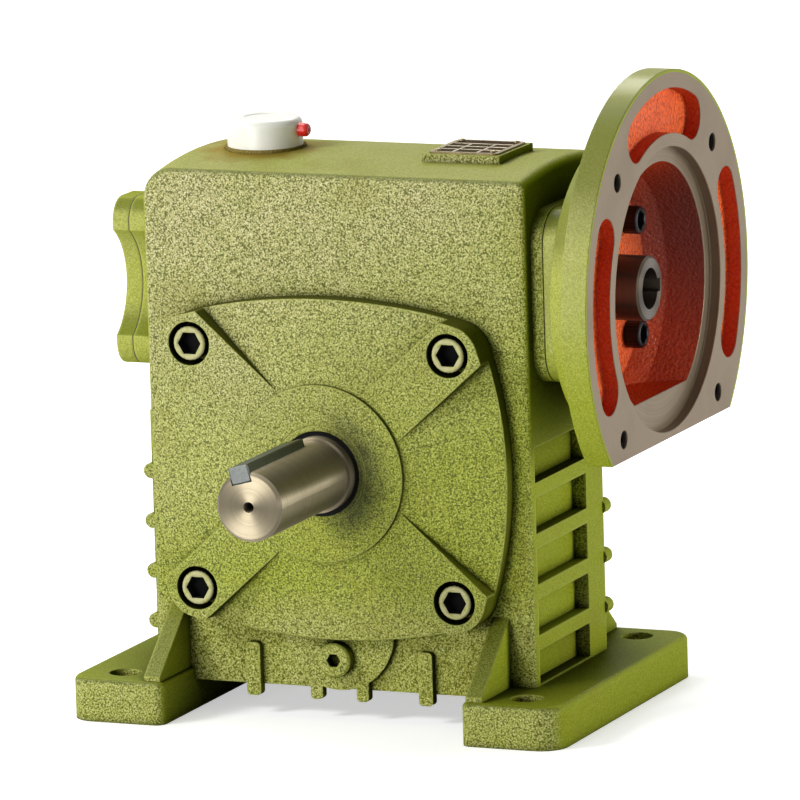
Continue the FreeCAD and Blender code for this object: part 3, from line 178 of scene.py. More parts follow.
class ReducerMetal(PropertyGroup):
    """Bare and blackened metals."""
    steel: colour("Steel", "Turned shaft steel", (0.59, 0.55, 0.46))
    oiled_steel: colour("Oiled steel", "Worm shaft with a film of oil", (0.38, 0.34, 0.29))
    key_steel: colour("Key steel", "Drawn key bar", (0.37, 0.38, 0.37))
    iron: colour("Iron", "Machined cast iron", (0.54, 0.48, 0.40))
    bronze: colour("Bronze", "Wheel rim", (0.76, 0.56, 0.28))
    black: colour("Black", "Blackened screws", (0.10, 0.10, 0.10))
    bearing: colour("Bearing", "Ground bearing steel", (0.76, 0.76, 0.76))
    plate: colour("Plate", "Dark enamel of the blank plate", (0.24, 0.19, 0.13))
    plate_rim: colour("Plate rim", "Bare border of the blank plate", (0.46, 0.41, 0.29))
    turning: distance("Turning", "Pitch of the turning marks", 0.00035)
    # The next share sets how dark the painted reflection bands on turned metal are.
    painted_reflection_depth: share("Oil film", "How much the oil darkens turned metal where it is thickest", 0.75)


class ReducerSoft(PropertyGroup):
    """Plastic, rubber and gasket colours."""
    cap: colour("Cap", "Moulded filler cap", (0.90, 0.90, 0.86))
    vent: colour("Vent", "Moulded vent button", (0.80, 0.12, 0.08))
    # The next colour also fills the screw sockets as painted shade.
    rubber: colour("Rubber", "Shaft seals, and grease in the screw sockets", (0.05, 0.05, 0.05))
    gasket: colour("Gasket", "Fibre sheet", (0.30, 0.27, 0.20))


class ReducerParts(PropertyGroup):
    """Sizes of the small parts that are modelled here."""
    head_height: share("Head height", "Screw head height against its diameter", 0.62)
    head_socket: share("Head socket", "Socket width against the head's diameter", 0.62)
    head_shank: share("Head shank", "Shank width against the head's diameter", 0.58)
    head_chamfer: distance("Head chamfer", "Chamfer of a screw head", 0.0007)
    knurl: distance("Knurl", "Depth of a screw head's knurl", 0.00022)
    key_edge: distance("Key edge", "Chamfer of the key", 0.0005)
    cap_round: distance("Cap rounding", "Radius of the cap's top edge", 0.0036)
    cap_groove: distance("Cap groove", "Depth of the groove under the cap's rim", 0.0008)
    seal_lip: share("Seal lip", "Width of the seal's lip against the seal's own", 0.12)
    seal_shown: share("Seal shown", "Share of the seal inside its painted rim", 0.45)
    plate_corner: distance("Plate corner", "Corner radius of the blank plate", 0.0025)
    plate_border: distance("Plate border", "Width of the blank plate's raised border", 0.0022)
    plate_line: distance("Plate line", "Width of the raised lines on the blank plate", 0.0012)
    thread_pitch: distance("Thread pitch", "Pitch of the flange's tapped holes", 0.0015)
    thread_depth: distance("Thread depth", "Height of the flange holes' thread", 0.0007)
    thread_turns: IntProperty(
        name="Thread turns", description="Turns shown in a tapped hole", default=7, min=1)


class ReducerStudio(PropertyGroup):
    """Camera and surroundings."""
    azimuth: degrees("Azimuth", "Camera turn from the front towards the motor side", 23.14)
    elevation: degrees("Elevation", "Camera height above the horizon", 10.48)
    roll: degrees("Roll", "Camera tilt about its own axis", -1.68)
    reach: distance("Distance", "From the camera to its target", 3.9816)
    target: FloatVectorProperty(
        name="Target", description="Point on the camera's axis", subtype="XYZ", unit="LENGTH", size=3,
        default=(0.05573, -0.02898, 0.17345))
    lens: FloatProperty(name="Lens", description="Focal length in millimetres", unit="CAMERA", default=394.0)
    shift: FloatVectorProperty(
        name="Shift", description="Camera shift in frame widths", size=2, default=(-0.0748, -0.0687))
    ambient: FloatProperty(name="Ambient", description="Strength of the white surroundings", default=0.10)
    white: FloatProperty(name="White", description="Background as the camera sees it", default=1.0)


GROUPS = {
    "reducer_paint": ReducerPaint,
    "reducer_metal": ReducerMetal,
    "reducer_soft": ReducerSoft,
    "reducer_parts": ReducerParts,
    "reducer_studio": ReducerStudio,
}


def settings(group):
    return getattr(bpy.context.scene, "reducer_" + group)


# Shader building

class Wiring:
    """Adds nodes to one node tree and links them."""

    def __init__(self, tree):
        self.tree = tree

    def node(self, kind, inputs=None, **properties):
        made = self.tree.nodes.new("ShaderNode" + kind)
        for name, value in properties.items():
            setattr(made, name, value)
        for socket, value in (inputs or {}).items():
            self.feed(made.inputs[socket], value)
        return made

    def feed(self, socket, value):
        if isinstance(value, bpy.types.NodeSocket):
            self.tree.links.new(value, socket)
        else:
            socket.default_value = value

    def math(self, operation, *values):
        return self.node("Math", dict(enumerate(values)), operation=operation).outputs[0]

    def all_of(self, *masks):
        product = masks[0]
        for mask in masks[1:]:
            product = self.math("MULTIPLY", product, mask)
        return product

    def without(self, mask):
        return self.math("SUBTRACT", 1.0, mask)

    def above(self, value, limit):
        return self.math("GREATER_THAN", value, limit)

    def below(self, value, limit):
        return self.math("LESS_THAN", value, limit)

    def between(self, value, low, high):
        return self.all_of(self.above(value, low), self.below(value, high))

    def spread(self, value, from_low, from_high, to_low=0.0, to_high=1.0):
        """Maps one range to another and holds the value at its ends."""
        return self.node("MapRange", {
            "Value": value, "From Min": from_low, "From Max": from_high,
            "To Min": to_low, "To Max": to_high}).outputs["Result"]

    def pick(self, mask, off, on):
        """One number where the mask is 0, another where it is 1."""
        return self.spread(mask, 0.0, 1.0, off, on)

    def white_rays(self):
        """1 for rays that see the background: from the camera, in reflections and through glass."""
        path = self.node("LightPath").outputs
        seen = path["Is Camera Ray"]
        for name in ("Is Glossy Ray", "Is Transmission Ray"):
            seen = self.math("MAXIMUM", seen, path[name])
        return seen


class Finish(Wiring):
    """A node material wired up around one Principled BSDF."""

    def __init__(self, name):
        self.material = bpy.data.materials.new(name)
        self.material.use_nodes = True
        super().__init__(self.material.node_tree)
        self.surface = self.tree.nodes["Principled BSDF"]
        coordinates = self.node("TexCoord").outputs
        self.place = coordinates["Object"]
        self.facing = coordinates["Normal"]

    def set(self, **inputs):
        """Feeds the shader's own sockets; an underscore in a keyword stands for a space."""
        for name, value in inputs.items():
            self.feed(self.surface.inputs[name.replace("_", " ")], value)

    def mix(self, factor, first, second):
        """A colour mix; first and second are sockets or linear colours."""
        mixer = self.node("Mix", data_type="RGBA")
        self.feed(mixer.inputs[0], factor)
        self.feed(mixer.inputs[6], first)
        self.feed(mixer.inputs[7], second)
        return mixer.outputs[2]

    def noise(self, width, detail=2.0, roughness=0.5, place=None):
        """Noise whose features are about this wide, in metres."""
        return self.node("TexNoise", {
            "Vector": place or self.place, "Scale": 1 / width, "Detail": detail,
            "Roughness": roughness}).outputs["Fac"]

    def cells(self, width):
        """Soft round cells about this wide, 0 in the middle of a cell."""
        return self.node("TexVoronoi", {
            "Vector": self.place, "Scale": 1 / width, "Smoothness": 0.6},
            feature="SMOOTH_F1").outputs["Distance"]

    def turning(self, radius, along, detail, roughness=0.5):
        """Turning marks, which run round an axis and vary along it and across its ends."""
        around = self.node("CombineXYZ", {"X": radius, "Y": along}).outputs[0]
        return self.noise(settings("metal").turning, detail, roughness, around)

    def shifted(self, centre):
        return self.node("VectorMath", {0: self.place, 1: centre}, operation="SUBTRACT").outputs[0]

    def parts_of(self, vector):
        return self.node("SeparateXYZ", {"Vector": vector}).outputs

    def hypotenuse(self, one, other):
        squares = [self.all_of(side, side) for side in (one, other)]
        return self.math("SQRT", self.math("ADD", *squares))

    def wandering(self, one, other, width, detail, depth):
        """Distance from an axis, whose rings wander by this depth in waves about this wide."""
        wander = self.spread(self.noise(width, detail), 0.3, 0.7, -depth, depth)
        return self.math("ADD", self.hypotenuse(one, other), wander)

    def bump(self, height, depth, strength=1.0, normal=None):
        inputs = {"Height": height, "Distance": depth, "Strength": strength}
        if normal:
            inputs["Normal"] = normal
        return self.node("Bump", inputs).outputs["Normal"]

    def soft_edges(self, radius):
        return self.node("Bevel", {"Radius": radius}, samples=4).outputs["Normal"]

    def edges(self, rounded):
        """1 on edges, where the rounded normal leaves the face's own."""
        own = self.node("NewGeometry").outputs["Normal"]
        alike = self.node("VectorMath", {0: rounded, 1: own}, operation="DOT_PRODUCT").outputs["Value"]
        return self.spread(alike, 0.90, 0.99, 1.0, 0.0)

    def openness(self, reach):
        """1 on open faces, towards 0 in corners."""
        return self.node("AmbientOcclusion", {"Distance": reach}, samples=6).outputs["AO"]


def linear(srgb):
    return (*Color(srgb).from_srgb_to_scene_linear(), 1.0)


def scaled(rgba, factor):
    return (*[channel * factor for channel in rgba[:3]], 1.0)


# Finishes

def hammered(finish, low, middle, high, grain):
    """Colour and height of a hammered or cast paint grain: domes with hollows between them, with painted shade in
    the hollows and painted glints on the domes' tops.
    """
    domes = finish.without(finish.cells(grain))
    flecks = finish.noise(grain * 0.8, detail=3.0, roughness=0.65)
    height = finish.math("MULTIPLY_ADD", flecks, 1.2, finish.all_of(domes, 0.5))
    tone = finish.mix(finish.spread(height, 0.72, 0.86), low, middle)
    tone = finish.mix(finish.spread(height, 0.92, 1.08), tone, high)
    return tone, height


def green_layers(finish, grain_share=1.0):
    """Colour, height and grain strength of the green paint, in full on the front and weaker elsewhere."""
    paint = settings("paint")
    facing = finish.parts_of(finish.facing)
    place = finish.parts_of(finish.place)
    frontness = finish.math("ABSOLUTE", facing["Y"])
    front = finish.spread(frontness, 0.4, 0.8)
    on_end_boss = finish.all_of(finish.below(place["X"], END_BOSS_SIDE),
                                finish.above(place["Z"], END_BOSS_FOOT))
    strength = finish.all_of(finish.pick(front, paint.side_grain * grain_share, grain_share),
                             finish.pick(on_end_boss, 1.0, 0.3))
    drift = finish.noise(0.05, detail=4.0, roughness=0.6)
    # Painted sheen from the light at the upper left: the paint is paler high on the faces that look that way, on
    # the roof, and on the front near the floor.
    towards_light = finish.math("MULTIPLY_ADD", place["X"], -0.5, place["Z"])
    open_to_light = finish.math("MAXIMUM", front, finish.spread(facing["Z"], 0.6, 0.9, 0.0, 0.6))
    sheen_high = finish.all_of(finish.spread(towards_light, 0.09, 0.23), open_to_light)
    sheen_low = finish.all_of(finish.spread(place["Z"], 0.045, 0.065, 0.45, 0.0), front)
    sheened = finish.all_of(finish.math("MAXIMUM", sheen_high, sheen_low),
                           finish.spread(drift, 0.3, 0.6, 1.0, 0.6), finish.pick(on_end_boss, 1.0, 0.4))
    body = finish.mix(sheened, linear(paint.green), linear(paint.painted_sheen))
    hollow_shade = finish.mix(sheened, linear(paint.green_hollow_shade), linear(paint.painted_sheen_hollow))
    peak_glint = finish.mix(sheened, linear(paint.green_glint_and_wear), linear(paint.painted_sheen_glint))
    tone, height = hammered(finish, hollow_shade, body, peak_glint, paint.grain)
    tone = finish.mix(strength, body, tone)
    # Painted shade where a face rounds over from the front to the top.
    rounding = finish.all_of(
        finish.spread(frontness, 0.25, 0.45), finish.spread(frontness, 0.80, 0.95, 0.6, 0.0),
        finish.spread(facing["Z"], 0.2, 0.4))
    tone = finish.mix(rounding, tone, linear(paint.green_hollow_shade))
    tone = finish.mix(finish.spread(drift, 0.56, 0.80, 0.0, 0.35), tone, linear(paint.stain))
    return tone, height, strength


def make_green_paint(name, side_shade=0.0):
    """Hammered green with oil round the filler cap, a painted shadow with some oil beside the shaft, edges
    lightened by wear and a painted highlight, and painted shade in corners, deep places, on the feet and on the
    covers' sides.
    """
    paint = settings("paint")
    shade_and_grime = linear(paint.shade_and_grime)
    finish = Finish(name)
    facing = finish.parts_of(finish.facing)
    tone, height, strength = green_layers(finish)
    # Painted shade on faces that look sideways.
    sideways = finish.spread(finish.math("ABSOLUTE", facing["Y"]), 0.5, 0.9, 1.0, 0.0)
    tone = finish.mix(finish.all_of(sideways, side_shade), tone, shade_and_grime)

    cap_low, cap_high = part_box("filler_cap")
    around_cap = finish.parts_of(finish.shifted((cap_low + cap_high) / 2))
    spill = finish.wandering(around_cap["X"], around_cap["Y"], width=0.012, detail=3.0, depth=0.006)
    spilt = finish.all_of(finish.above(around_cap["Z"], -0.02), finish.spread(spill, 0.020, 0.036, 0.75, 0.0))
    tone = finish.mix(spilt, tone, linear(paint.spilt_oil))
    # A painted shadow of the shaft, with some oil that creeps past the seal, darkens the cover on the motor's side
    # of the shaft.
    around_shaft = finish.parts_of(finish.shifted(WHEEL_AXIS))
    shadow_and_oil_reach = finish.wandering(around_shaft["X"], around_shaft["Z"], width=0.006, detail=4.0, depth=0.004)
    shaft_shadow_and_oil = finish.all_of(finish.spread(shadow_and_oil_reach, 0.022, 0.036, 0.75, 0.0),
                          finish.spread(around_shaft["X"], 0.0, 0.015), finish.below(around_shaft["Y"], 0.0))
    tone = finish.mix(shaft_shadow_and_oil, tone, shade_and_grime)

    # Edges are lighter, partly from wear and partly a painted highlight.
    open_share = finish.openness(paint.corner_reach)
    rounded = finish.soft_edges(paint.edge)
    lit_and_worn = finish.all_of(finish.edges(rounded), finish.spread(open_share, 0.65, 0.90, 0.0, 0.6))
    tone = finish.mix(lit_and_worn, tone, linear(paint.green_glint_and_wear))
    # Painted shade on sideways faces in deep places.
    depth = finish.openness(paint.deep_shade_reach)
    tone = finish.mix(finish.all_of(sideways, finish.spread(depth, 0.20, 0.50, 0.95, 0.0)), tone, shade_and_grime)
    # Painted shade also darkens the feet beside the case.
    foot_shade = finish.all_of(finish.spread(facing["Z"], 0.7, 0.9),
                            finish.below(finish.parts_of(finish.place)["Z"], paint.foot_shade_height),
                            finish.spread(depth, 0.50, 0.92, 0.85, 0.1))
    tone = finish.mix(foot_shade, tone, shade_and_grime)
    # Painted shade in corners.
    tone = finish.mix(finish.spread(open_share, 0.30, 0.72), shade_and_grime, tone)
    normal = finish.bump(height, paint.grain_depth, strength, rounded)
    # The gloss is a film on the grain, thin on the sides and gone in deep places.
    film = finish.all_of(strength, finish.spread(depth, 0.40, 0.80, 0.0, 0.6))
    finish.set(Base_Color=tone, Roughness=0.5, Normal=normal, Specular_IOR_Level=0.0,
               Coat_Weight=film, Coat_Roughness=0.3, Coat_Normal=normal)
    return finish.material


def make_sprayed_head():
    """Thin paint on the screw heads, with painted shade in their sockets and round them."""
    paint = settings("paint")
    finish = Finish("sprayed_screw_heads")
    rubbed_and_reflection_bands = finish.noise(0.0016, detail=3.0)
    tone = finish.mix(finish.spread(rubbed_and_reflection_bands, 0.25, 0.5), linear(paint.green), linear(paint.sprayed_head))
    # Painted shade in the socket and round the head.
    open_share = finish.openness(0.006)
    tone = finish.mix(finish.spread(open_share, 0.45, 0.80), scaled(linear(paint.shade_and_grime), 0.25), tone)
    finish.set(Base_Color=tone, Roughness=0.4, Specular_IOR_Level=0.15,
               Normal=finish.bump(rubbed_and_reflection_bands, 0.0001, 0.5, finish.soft_edges(0.0003)))
    return finish.material


def make_flange_paint():
    """Green outside, red in the bowl and the pockets, bare turned iron on the face."""
    paint = settings("paint")
    shade_and_grime = linear(paint.shade_and_grime)
    iron = linear(settings("metal").iron)
    finish = Finish("flange_paint")
    place = finish.parts_of(finish.shifted(WORM_AXIS))
    along, across, height_above = place["X"], place["Y"], place["Z"]
    radius = finish.hypotenuse(across, height_above)
    # The bowl lies inside a cone between its wall and the bell's outside.
    cone = finish.math("MULTIPLY_ADD", finish.math("SUBTRACT", along, BOWL_FLOOR), BOWL_SLOPE, BOWL_RADIUS)
    in_bowl = finish.all_of(finish.below(radius, cone), finish.between(along, *BOWL_ALONG))
    nearest = finish.math("MINIMUM", finish.math("ABSOLUTE", across), finish.math("ABSOLUTE", height_above))
    in_pocket = finish.all_of(finish.between(radius, *POCKET_RADII), finish.below(nearest, POCKET_SPAN),
                              finish.between(along, *POCKET_ALONG))
    red_mask = finish.math("MAXIMUM", in_bowl, in_pocket)
    bare_mask = finish.all_of(finish.above(along, BOWL_ALONG[1]), finish.below(radius, FACE_RADIUS),
                              finish.without(in_pocket))
    painted = finish.without(bare_mask)

    green, green_height, strength = green_layers(finish, paint.flange_grain)
    open_share = finish.openness(paint.corner_reach)
    depth = finish.openness(paint.deep_shade_reach)
    # Painted shade on the green in deep places and in corners.
    green = finish.mix(finish.spread(depth, 0.20, 0.50, 0.85, 0.0), green, shade_and_grime)
    green = finish.mix(finish.spread(open_share, 0.30, 0.72), shade_and_grime, green)
    # The red's hollows take painted shade and its domes painted glints.
    red, red_height = hammered(
        finish, linear(paint.red_shade_and_stain), linear(paint.red), scaled(linear(paint.red), 1.2), paint.grain * 1.8)
    stain = finish.noise(0.018, detail=4.0)
    red = finish.mix(finish.spread(stain, 0.50, 0.75, 0.0, 0.6), red, linear(paint.red_shade_and_stain))
    # Painted shade on the walls that turn away from the side lamp.
    wall = finish.spread(finish.parts_of(finish.facing)["X"], 0.5, 0.9, 0.8, 0.0)
    red = finish.mix(wall, red, linear(paint.red_wall_shade))
    # Painted shade high at the back of the bowl.
    upper = finish.math("MULTIPLY_ADD", height_above, 0.6, across)
    shaded = finish.all_of(in_bowl, finish.spread(upper, 0.026, 0.066, 0.0, 0.85))
    red = finish.mix(shaded, red, linear(paint.red_bowl_shade))
    rings = finish.turning(radius, along, detail=1.0)
    bare = finish.mix(finish.spread(rings, 0.3, 0.7), scaled(iron, 0.75), iron)
    handled = finish.noise(0.03, detail=4.0)
    bare = finish.mix(finish.spread(handled, 0.5, 0.75, 0.0, 0.4), bare, scaled(iron, 0.55))

    tone = finish.mix(bare_mask, finish.mix(red_mask, green, red), bare)
    height = finish.math("ADD", finish.all_of(green_height, finish.without(red_mask)),
                         finish.all_of(red_height, red_mask))
    strength = finish.all_of(finish.math("MAXIMUM", strength, red_mask), painted)
    normal = finish.bump(height, paint.grain_depth, strength, finish.soft_edges(paint.edge / 2))
    normal = finish.bump(rings, 0.00004, bare_mask, normal)
    roughness = finish.math("ADD", finish.all_of(bare_mask, 0.40),
                            finish.all_of(painted, finish.pick(red_mask, 0.38, 0.22)))
    finish.set(Base_Color=tone, Metallic=finish.all_of(bare_mask, 0.65), Roughness=roughness, Normal=normal,
               Specular_IOR_Level=0.0, Coat_Weight=finish.all_of(painted, finish.pick(red_mask, 0.3, 0.45)),
               Coat_Roughness=0.18, Coat_Normal=normal)
    return finish.material


def make_turned_metal(name, srgb, axis, centre, roughness=0.42, metallic=1.0):
    """Metal with turning marks round an axis.

    Across such marks a highlight stretches into bands along the shaft and wedges on its ends.
    """
    finish = Finish(name)
    place = finish.parts_of(finish.shifted(centre))
    crosswise = [place[letter] for letter in "XYZ" if letter != axis]
    radius = finish.hypotenuse(*crosswise)
    marks = finish.turning(radius, place[axis], detail=3.0, roughness=0.7)
    stain = finish.noise(0.014, detail=4.0, roughness=0.6)
    base = linear(srgb)
    tone = finish.mix(finish.spread(marks, 0.3, 0.7), scaled(base, 0.8), base)
    tone = finish.mix(finish.spread(stain, 0.5, 0.8, 0.0, 0.35), tone, scaled(base, 0.6))
    # Painted reflections: the colour darkens in bands along the shaft and in wedges on its ends, by the angle
    # round the axis.
    sine = finish.math("DIVIDE", crosswise[1], finish.math("ADD", radius, 0.00001))
    upright = finish.all_of(sine, sine)
    fourfold = finish.math(
        "MULTIPLY_ADD", finish.all_of(upright, finish.math("SUBTRACT", upright, 1.0)), 4.0, 1.0)
    endness = finish.math("ABSOLUTE", finish.parts_of(finish.facing)[axis])
    rubbed_and_reflection_bands = finish.math("ADD", finish.all_of(endness, upright),
                         finish.all_of(finish.without(endness), fourfold))
    tone = finish.mix(finish.pick(rubbed_and_reflection_bands, settings("metal").painted_reflection_depth, 0.0), tone, scaled(base, 0.25))
    # Painted shade in holes.
    tone = finish.mix(finish.spread(finish.openness(0.005), 0.25, 0.6), scaled(base, 0.03), tone)
    tangent = finish.node("Tangent", direction_type="RADIAL", axis=axis).outputs[0]
    finish.set(Base_Color=tone, Metallic=metallic,
               Anisotropic=0.85, Anisotropic_Rotation=0.25, Tangent=tangent,
               Roughness=finish.spread(marks, 0.3, 0.7, roughness * 1.25, roughness * 0.8),
               Normal=finish.bump(marks, 0.00003, 0.5, finish.soft_edges(0.0003)))
    return finish.material


def make_plain_metal(name, srgb, roughness, metallic=1.0, grain=0.0006):
    """Blackened, drawn or ground metal with a fine even grain."""
    finish = Finish(name)
    base = linear(srgb)
    fine = finish.noise(grain, detail=3.0)
    wide = finish.noise(grain * 18, detail=3.0)
    tone = finish.mix(finish.spread(fine, 0.35, 0.65), scaled(base, 0.8), base)
    tone = finish.mix(finish.spread(wide, 0.5, 0.75, 0.0, 0.4), tone, scaled(base, 0.6))
    finish.set(Base_Color=tone, Metallic=metallic,
               Roughness=finish.spread(wide, 0.3, 0.7, roughness * 0.85, roughness * 1.2),
               Normal=finish.bump(fine, 0.00003, 0.6, finish.soft_edges(0.0003)))
    return finish.material


def make_moulded(name, srgb, roughness, grain, depth, gloss=0.5):
    """Plastic, rubber, fibre or a dark fill that paints shade, with a moulded skin."""
    finish = Finish(name)
    base = linear(srgb)
    skin_grain = finish.noise(grain, detail=3.0)
    drift = finish.noise(grain * 25, detail=3.0)
    tone = finish.mix(finish.spread(drift, 0.45, 0.75, 0.0, 0.5), base, scaled(base, 0.86))
    finish.set(Base_Color=tone, Roughness=finish.spread(drift, 0.3, 0.7, roughness, roughness * 1.3),
               Normal=finish.bump(skin_grain, depth, 0.5), Specular_IOR_Level=gloss)
    return finish.material


def make_plate_enamel(length, width, border, centre):
    """Dark enamel inside a bare border, with scuffs."""
    metal = settings("metal")
    rim = linear(metal.plate_rim)
    finish = Finish("plate_enamel")
    place = finish.parts_of(finish.shifted(centre))
    inside = finish.all_of(*[finish.below(finish.math("ABSOLUTE", place[letter]), size / 2 - border)
                             for letter, size in (("X", length), ("Y", width))])
    scuff = finish.noise(0.006, detail=6.0, roughness=0.7)
    fine = finish.noise(0.0007, detail=3.0)
    dark = finish.mix(finish.spread(scuff, 0.5, 0.75, 0.0, 0.5), linear(metal.plate), scaled(rim, 0.6))
    bare = finish.mix(finish.spread(fine, 0.35, 0.65), scaled(rim, 0.7), rim)
    finish.set(Base_Color=finish.mix(inside, bare, dark), Metallic=finish.pick(inside, 0.8, 0.1),
               Roughness=finish.spread(scuff, 0.3, 0.7, 0.38, 0.6), Normal=finish.bump(fine, 0.00003, 0.5),
               Specular_IOR_Level=0.0)
    return finish.material


def dress(material, *names):
    """Gives CAD nodes a finish."""
    for name in names:
        mesh = NODES[name].data
        mesh.materials.clear()
        mesh.materials.append(material)


# Mesh building

def polar(radius, turn, height=0.0):
    return Vector((radius * math.cos(turn), radius * math.sin(turn), height))


def circle(radius, height, count=ROUND_STEPS):
    return [polar(radius, math.tau * step / count, height) for step in range(count)]


def hexagon(half_width, height, count=SCREW_STEPS):
    """A hexagon drawn with as many points as the circles beside it."""
    sixth = math.tau / 6
    turns = [math.tau * step / count for step in range(count)]
    return [polar(half_width / math.cos((turn % sixth) - sixth / 2), turn, height) for turn in turns]


def knurled(radius, height, depth, count=SCREW_STEPS):
    return [polar(radius - depth * (step % 2), math.tau * step / count, height) for step in range(count)]


def round_rectangle(length, width, corner, height, steps=6):
    points = []
    for quarter in range(4):
        side_x = 1 if quarter in (0, 3) else -1
        side_y = 1 if quarter in (0, 1) else -1
        centre = Vector((side_x * (length / 2 - corner), side_y * (width / 2 - corner), height))
        for step in range(steps + 1):
            points.append(centre + polar(corner, math.pi / 2 * (quarter + step / steps)))
    return points


def arc(centre_radius, centre_height, radius, start, end, steps=6):
    """Points (radius, height) of a round corner in a lathe profile, angles in degrees."""
    turns = [math.radians(start + (end - start) * step / steps) for step in range(steps + 1)]
    return [(centre_radius + radius * math.cos(turn), centre_height + radius * math.sin(turn))
            for turn in turns]


def skin(shape, loops, place, closed=False):
    """Joins a stack of loops with faces; a loop of one point closes an end, and closed joins last to first.

    Returns the faces of each band between two loops.
    """
    rows = [[shape.verts.new(place @ point) for point in loop] for loop in loops]
    following = rows[1:] + rows[:1] if closed else rows[1:]
    bands = []
    for lower, upper in zip(rows, following):
        count = max(len(lower), len(upper))
        bands.append([])
        for step in range(count):
            after = (step + 1) % count
            corners = [lower[step % len(lower)], lower[after % len(lower)],
                       upper[after % len(upper)], upper[step % len(upper)]]
            bands[-1].append(shape.faces.new(list(dict.fromkeys(corners))))
    return bands


def second_finish(bands):
    """Gives the faces of these bands a piece's second material."""
    for band in bands:
        for face in band:
            face.material_index = 1


def lathe(shape, profile, place, count=ROUND_STEPS, closed=False):
    """Turns a profile of (radius, height) about local z."""
    loops = [circle(radius, height, count) if radius > 0 else [Vector((0, 0, height))]
             for radius, height in profile]
    return skin(shape, loops, place, closed)


def aimed(place, direction):
    """A frame at this place whose z points along direction."""
    return Matrix.Translation(place) @ UP.rotation_difference(direction).to_matrix().to_4x4()


def finish_piece(name, shape, materials, slot, *replaced, body="housing", sharp=35):
    """Turns a shape into a piece that rides on its body and stands for CAD nodes."""
    bmesh.ops.recalc_face_normals(shape, faces=shape.faces)
    mesh = bpy.data.meshes.new(name)
    shape.to_mesh(mesh)
    shape.free()
    mesh.shade_smooth()
    mesh.set_sharp_from_angle(angle=math.radians(sharp))
    for material in materials:
        mesh.materials.append(material)
    piece = bpy.data.objects.new(name, mesh)
    bpy.context.scene.collection.objects.link(piece)
    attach(piece, body)
    if replaced:
        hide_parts(*replaced)


def welded(node):
    """A CAD node's mesh with its split corners joined."""
    shape = bmesh.new()
    shape.from_mesh(NODES[node].data)
    bmesh.ops.remove_doubles(shape, verts=shape.verts, dist=1e-6)
    return shape


def solids_of(node):
    """The box, lowest and highest corner, of each separate solid of a CAD node."""
    shape = welded(node)
    left = set(shape.verts)
    boxes = []
    while left:
        group = {left.pop()}
        newest = group
        while newest:
            newest = {edge.other_vert(vert) for vert in newest for edge in vert.link_edges} & left
            left -= newest
            group = group | newest
        corners = [vert.co for vert in group]
        boxes.append((Vector(map(min, *corners)), Vector(map(max, *corners))))
    shape.free()
    return sorted(boxes, key=lambda box: tuple(box[0]))


def outer_end(low, high, direction):
    """Middle of the box's face towards direction."""
    middle = (low + high) / 2
    half = (high - low) / 2
    return middle + Vector([half[axis] * direction[axis] for axis in range(3)])


def extent(low, high, direction):
    """Length of a box along direction, and its width across."""
    size = high - low
    along = abs(size.dot(direction))
    across = max(size[axis] for axis in range(3) if abs(direction[axis]) < 0.5)
    return along, across


# Operators

class REDUCER_OT_castings(Operator):
    """Paint the case, the covers and what was sprayed with them"""
    bl_idname = "reducer.castings"
    bl_label = "Castings"

    def execute(self, context):
        dress(make_green_paint("hammered_green_paint"), "gear_case", "worm_end_cover", "drain_plug")
        cover_paint = make_green_paint("cover_green_paint", settings("paint").cover_side_shade)
        dress(cover_paint, "output_cover", "rear_cover")
        return {"FINISHED"}


class REDUCER_OT_flange(Operator):
    """Paint the motor flange and cut the thread in its holes"""
    bl_idname = "reducer.flange"
    bl_label = "Motor flange"

    def execute(self, context):
        dress(make_flange_paint(), "motor_flange")
        mount = next(m for m in frame["record"]["mounts"] if m["name"] == "motor_flange_bolts")
        count = mount["dims"]["count"]
        radius = mount["dims"]["hole_r_mm"] / 1000
        reach = mount["dims"]["pcd_mm"] / 2000
        shape = bmesh.new()
        for quarter in range(count):
            turn = math.tau * (quarter + 0.5) / count
            hole = Vector(mount["pos_m"]) + Vector((0, reach * math.cos(turn), reach * math.sin(turn)))
            self.thread(shape, radius, aimed(hole, -RIGHT))
        # The threads are black as painted shade in the holes.
        iron = make_plain_metal("thread_hole_shade", settings("metal").black, 0.5)
        finish_piece("flange_hole_threads", shape, [iron], "flange_paint", sharp=20)
        return {"FINISHED"}

    @staticmethod
    def thread(shape, radius, place):
        """A ridge that winds down a hole from its mouth, with its root just inside the wall."""
        parts = settings("parts")
        half = Vector((0, 0, parts.thread_pitch * 0.45))
        root = radius * 1.01
        crest = radius - parts.thread_depth
        loops = []
        for step in range(parts.thread_turns * THREAD_STEPS + 1):
            outward = polar(1.0, math.tau * step / THREAD_STEPS)
            down = Vector((0, 0, parts.thread_pitch * (1 + step / THREAD_STEPS)))
            loops.append([outward * root + down - half, outward * crest + down, outward * root + down + half])
        skin(shape, loops, place)


class REDUCER_OT_shafts(Operator):
    """Turned output shaft, its key and the worm shaft"""
    bl_idname = "reducer.shafts"
    bl_label = "Shafts"

    def execute(self, context):
        metal = settings("metal")
        turned = make_turned_metal("turned_shaft_steel", metal.steel, "Y", WHEEL_AXIS)
        dress(turned, "output_shaft", "spacer_sleeve")
        oiled = make_turned_metal("oiled_worm_steel", metal.oiled_steel, "X", WORM_AXIS, roughness=0.36)
        dress(oiled, "worm_shaft")
        drawn = make_plain_metal("drawn_key_steel", metal.key_steel, 0.45, grain=0.0011)
        dress(drawn, "wheel_key")
        shape = welded("output_key")
        bmesh.ops.dissolve_limit(shape, angle_limit=0.01, verts=shape.verts, edges=shape.edges)
        bmesh.ops.bevel(
            shape, geom=shape.edges[:], offset=settings("parts").key_edge, segments=2, affect="EDGES")
        finish_piece("output_key_bar", shape, [drawn], "ground_steel", "output_key", body="output")
        return {"FINISHED"}


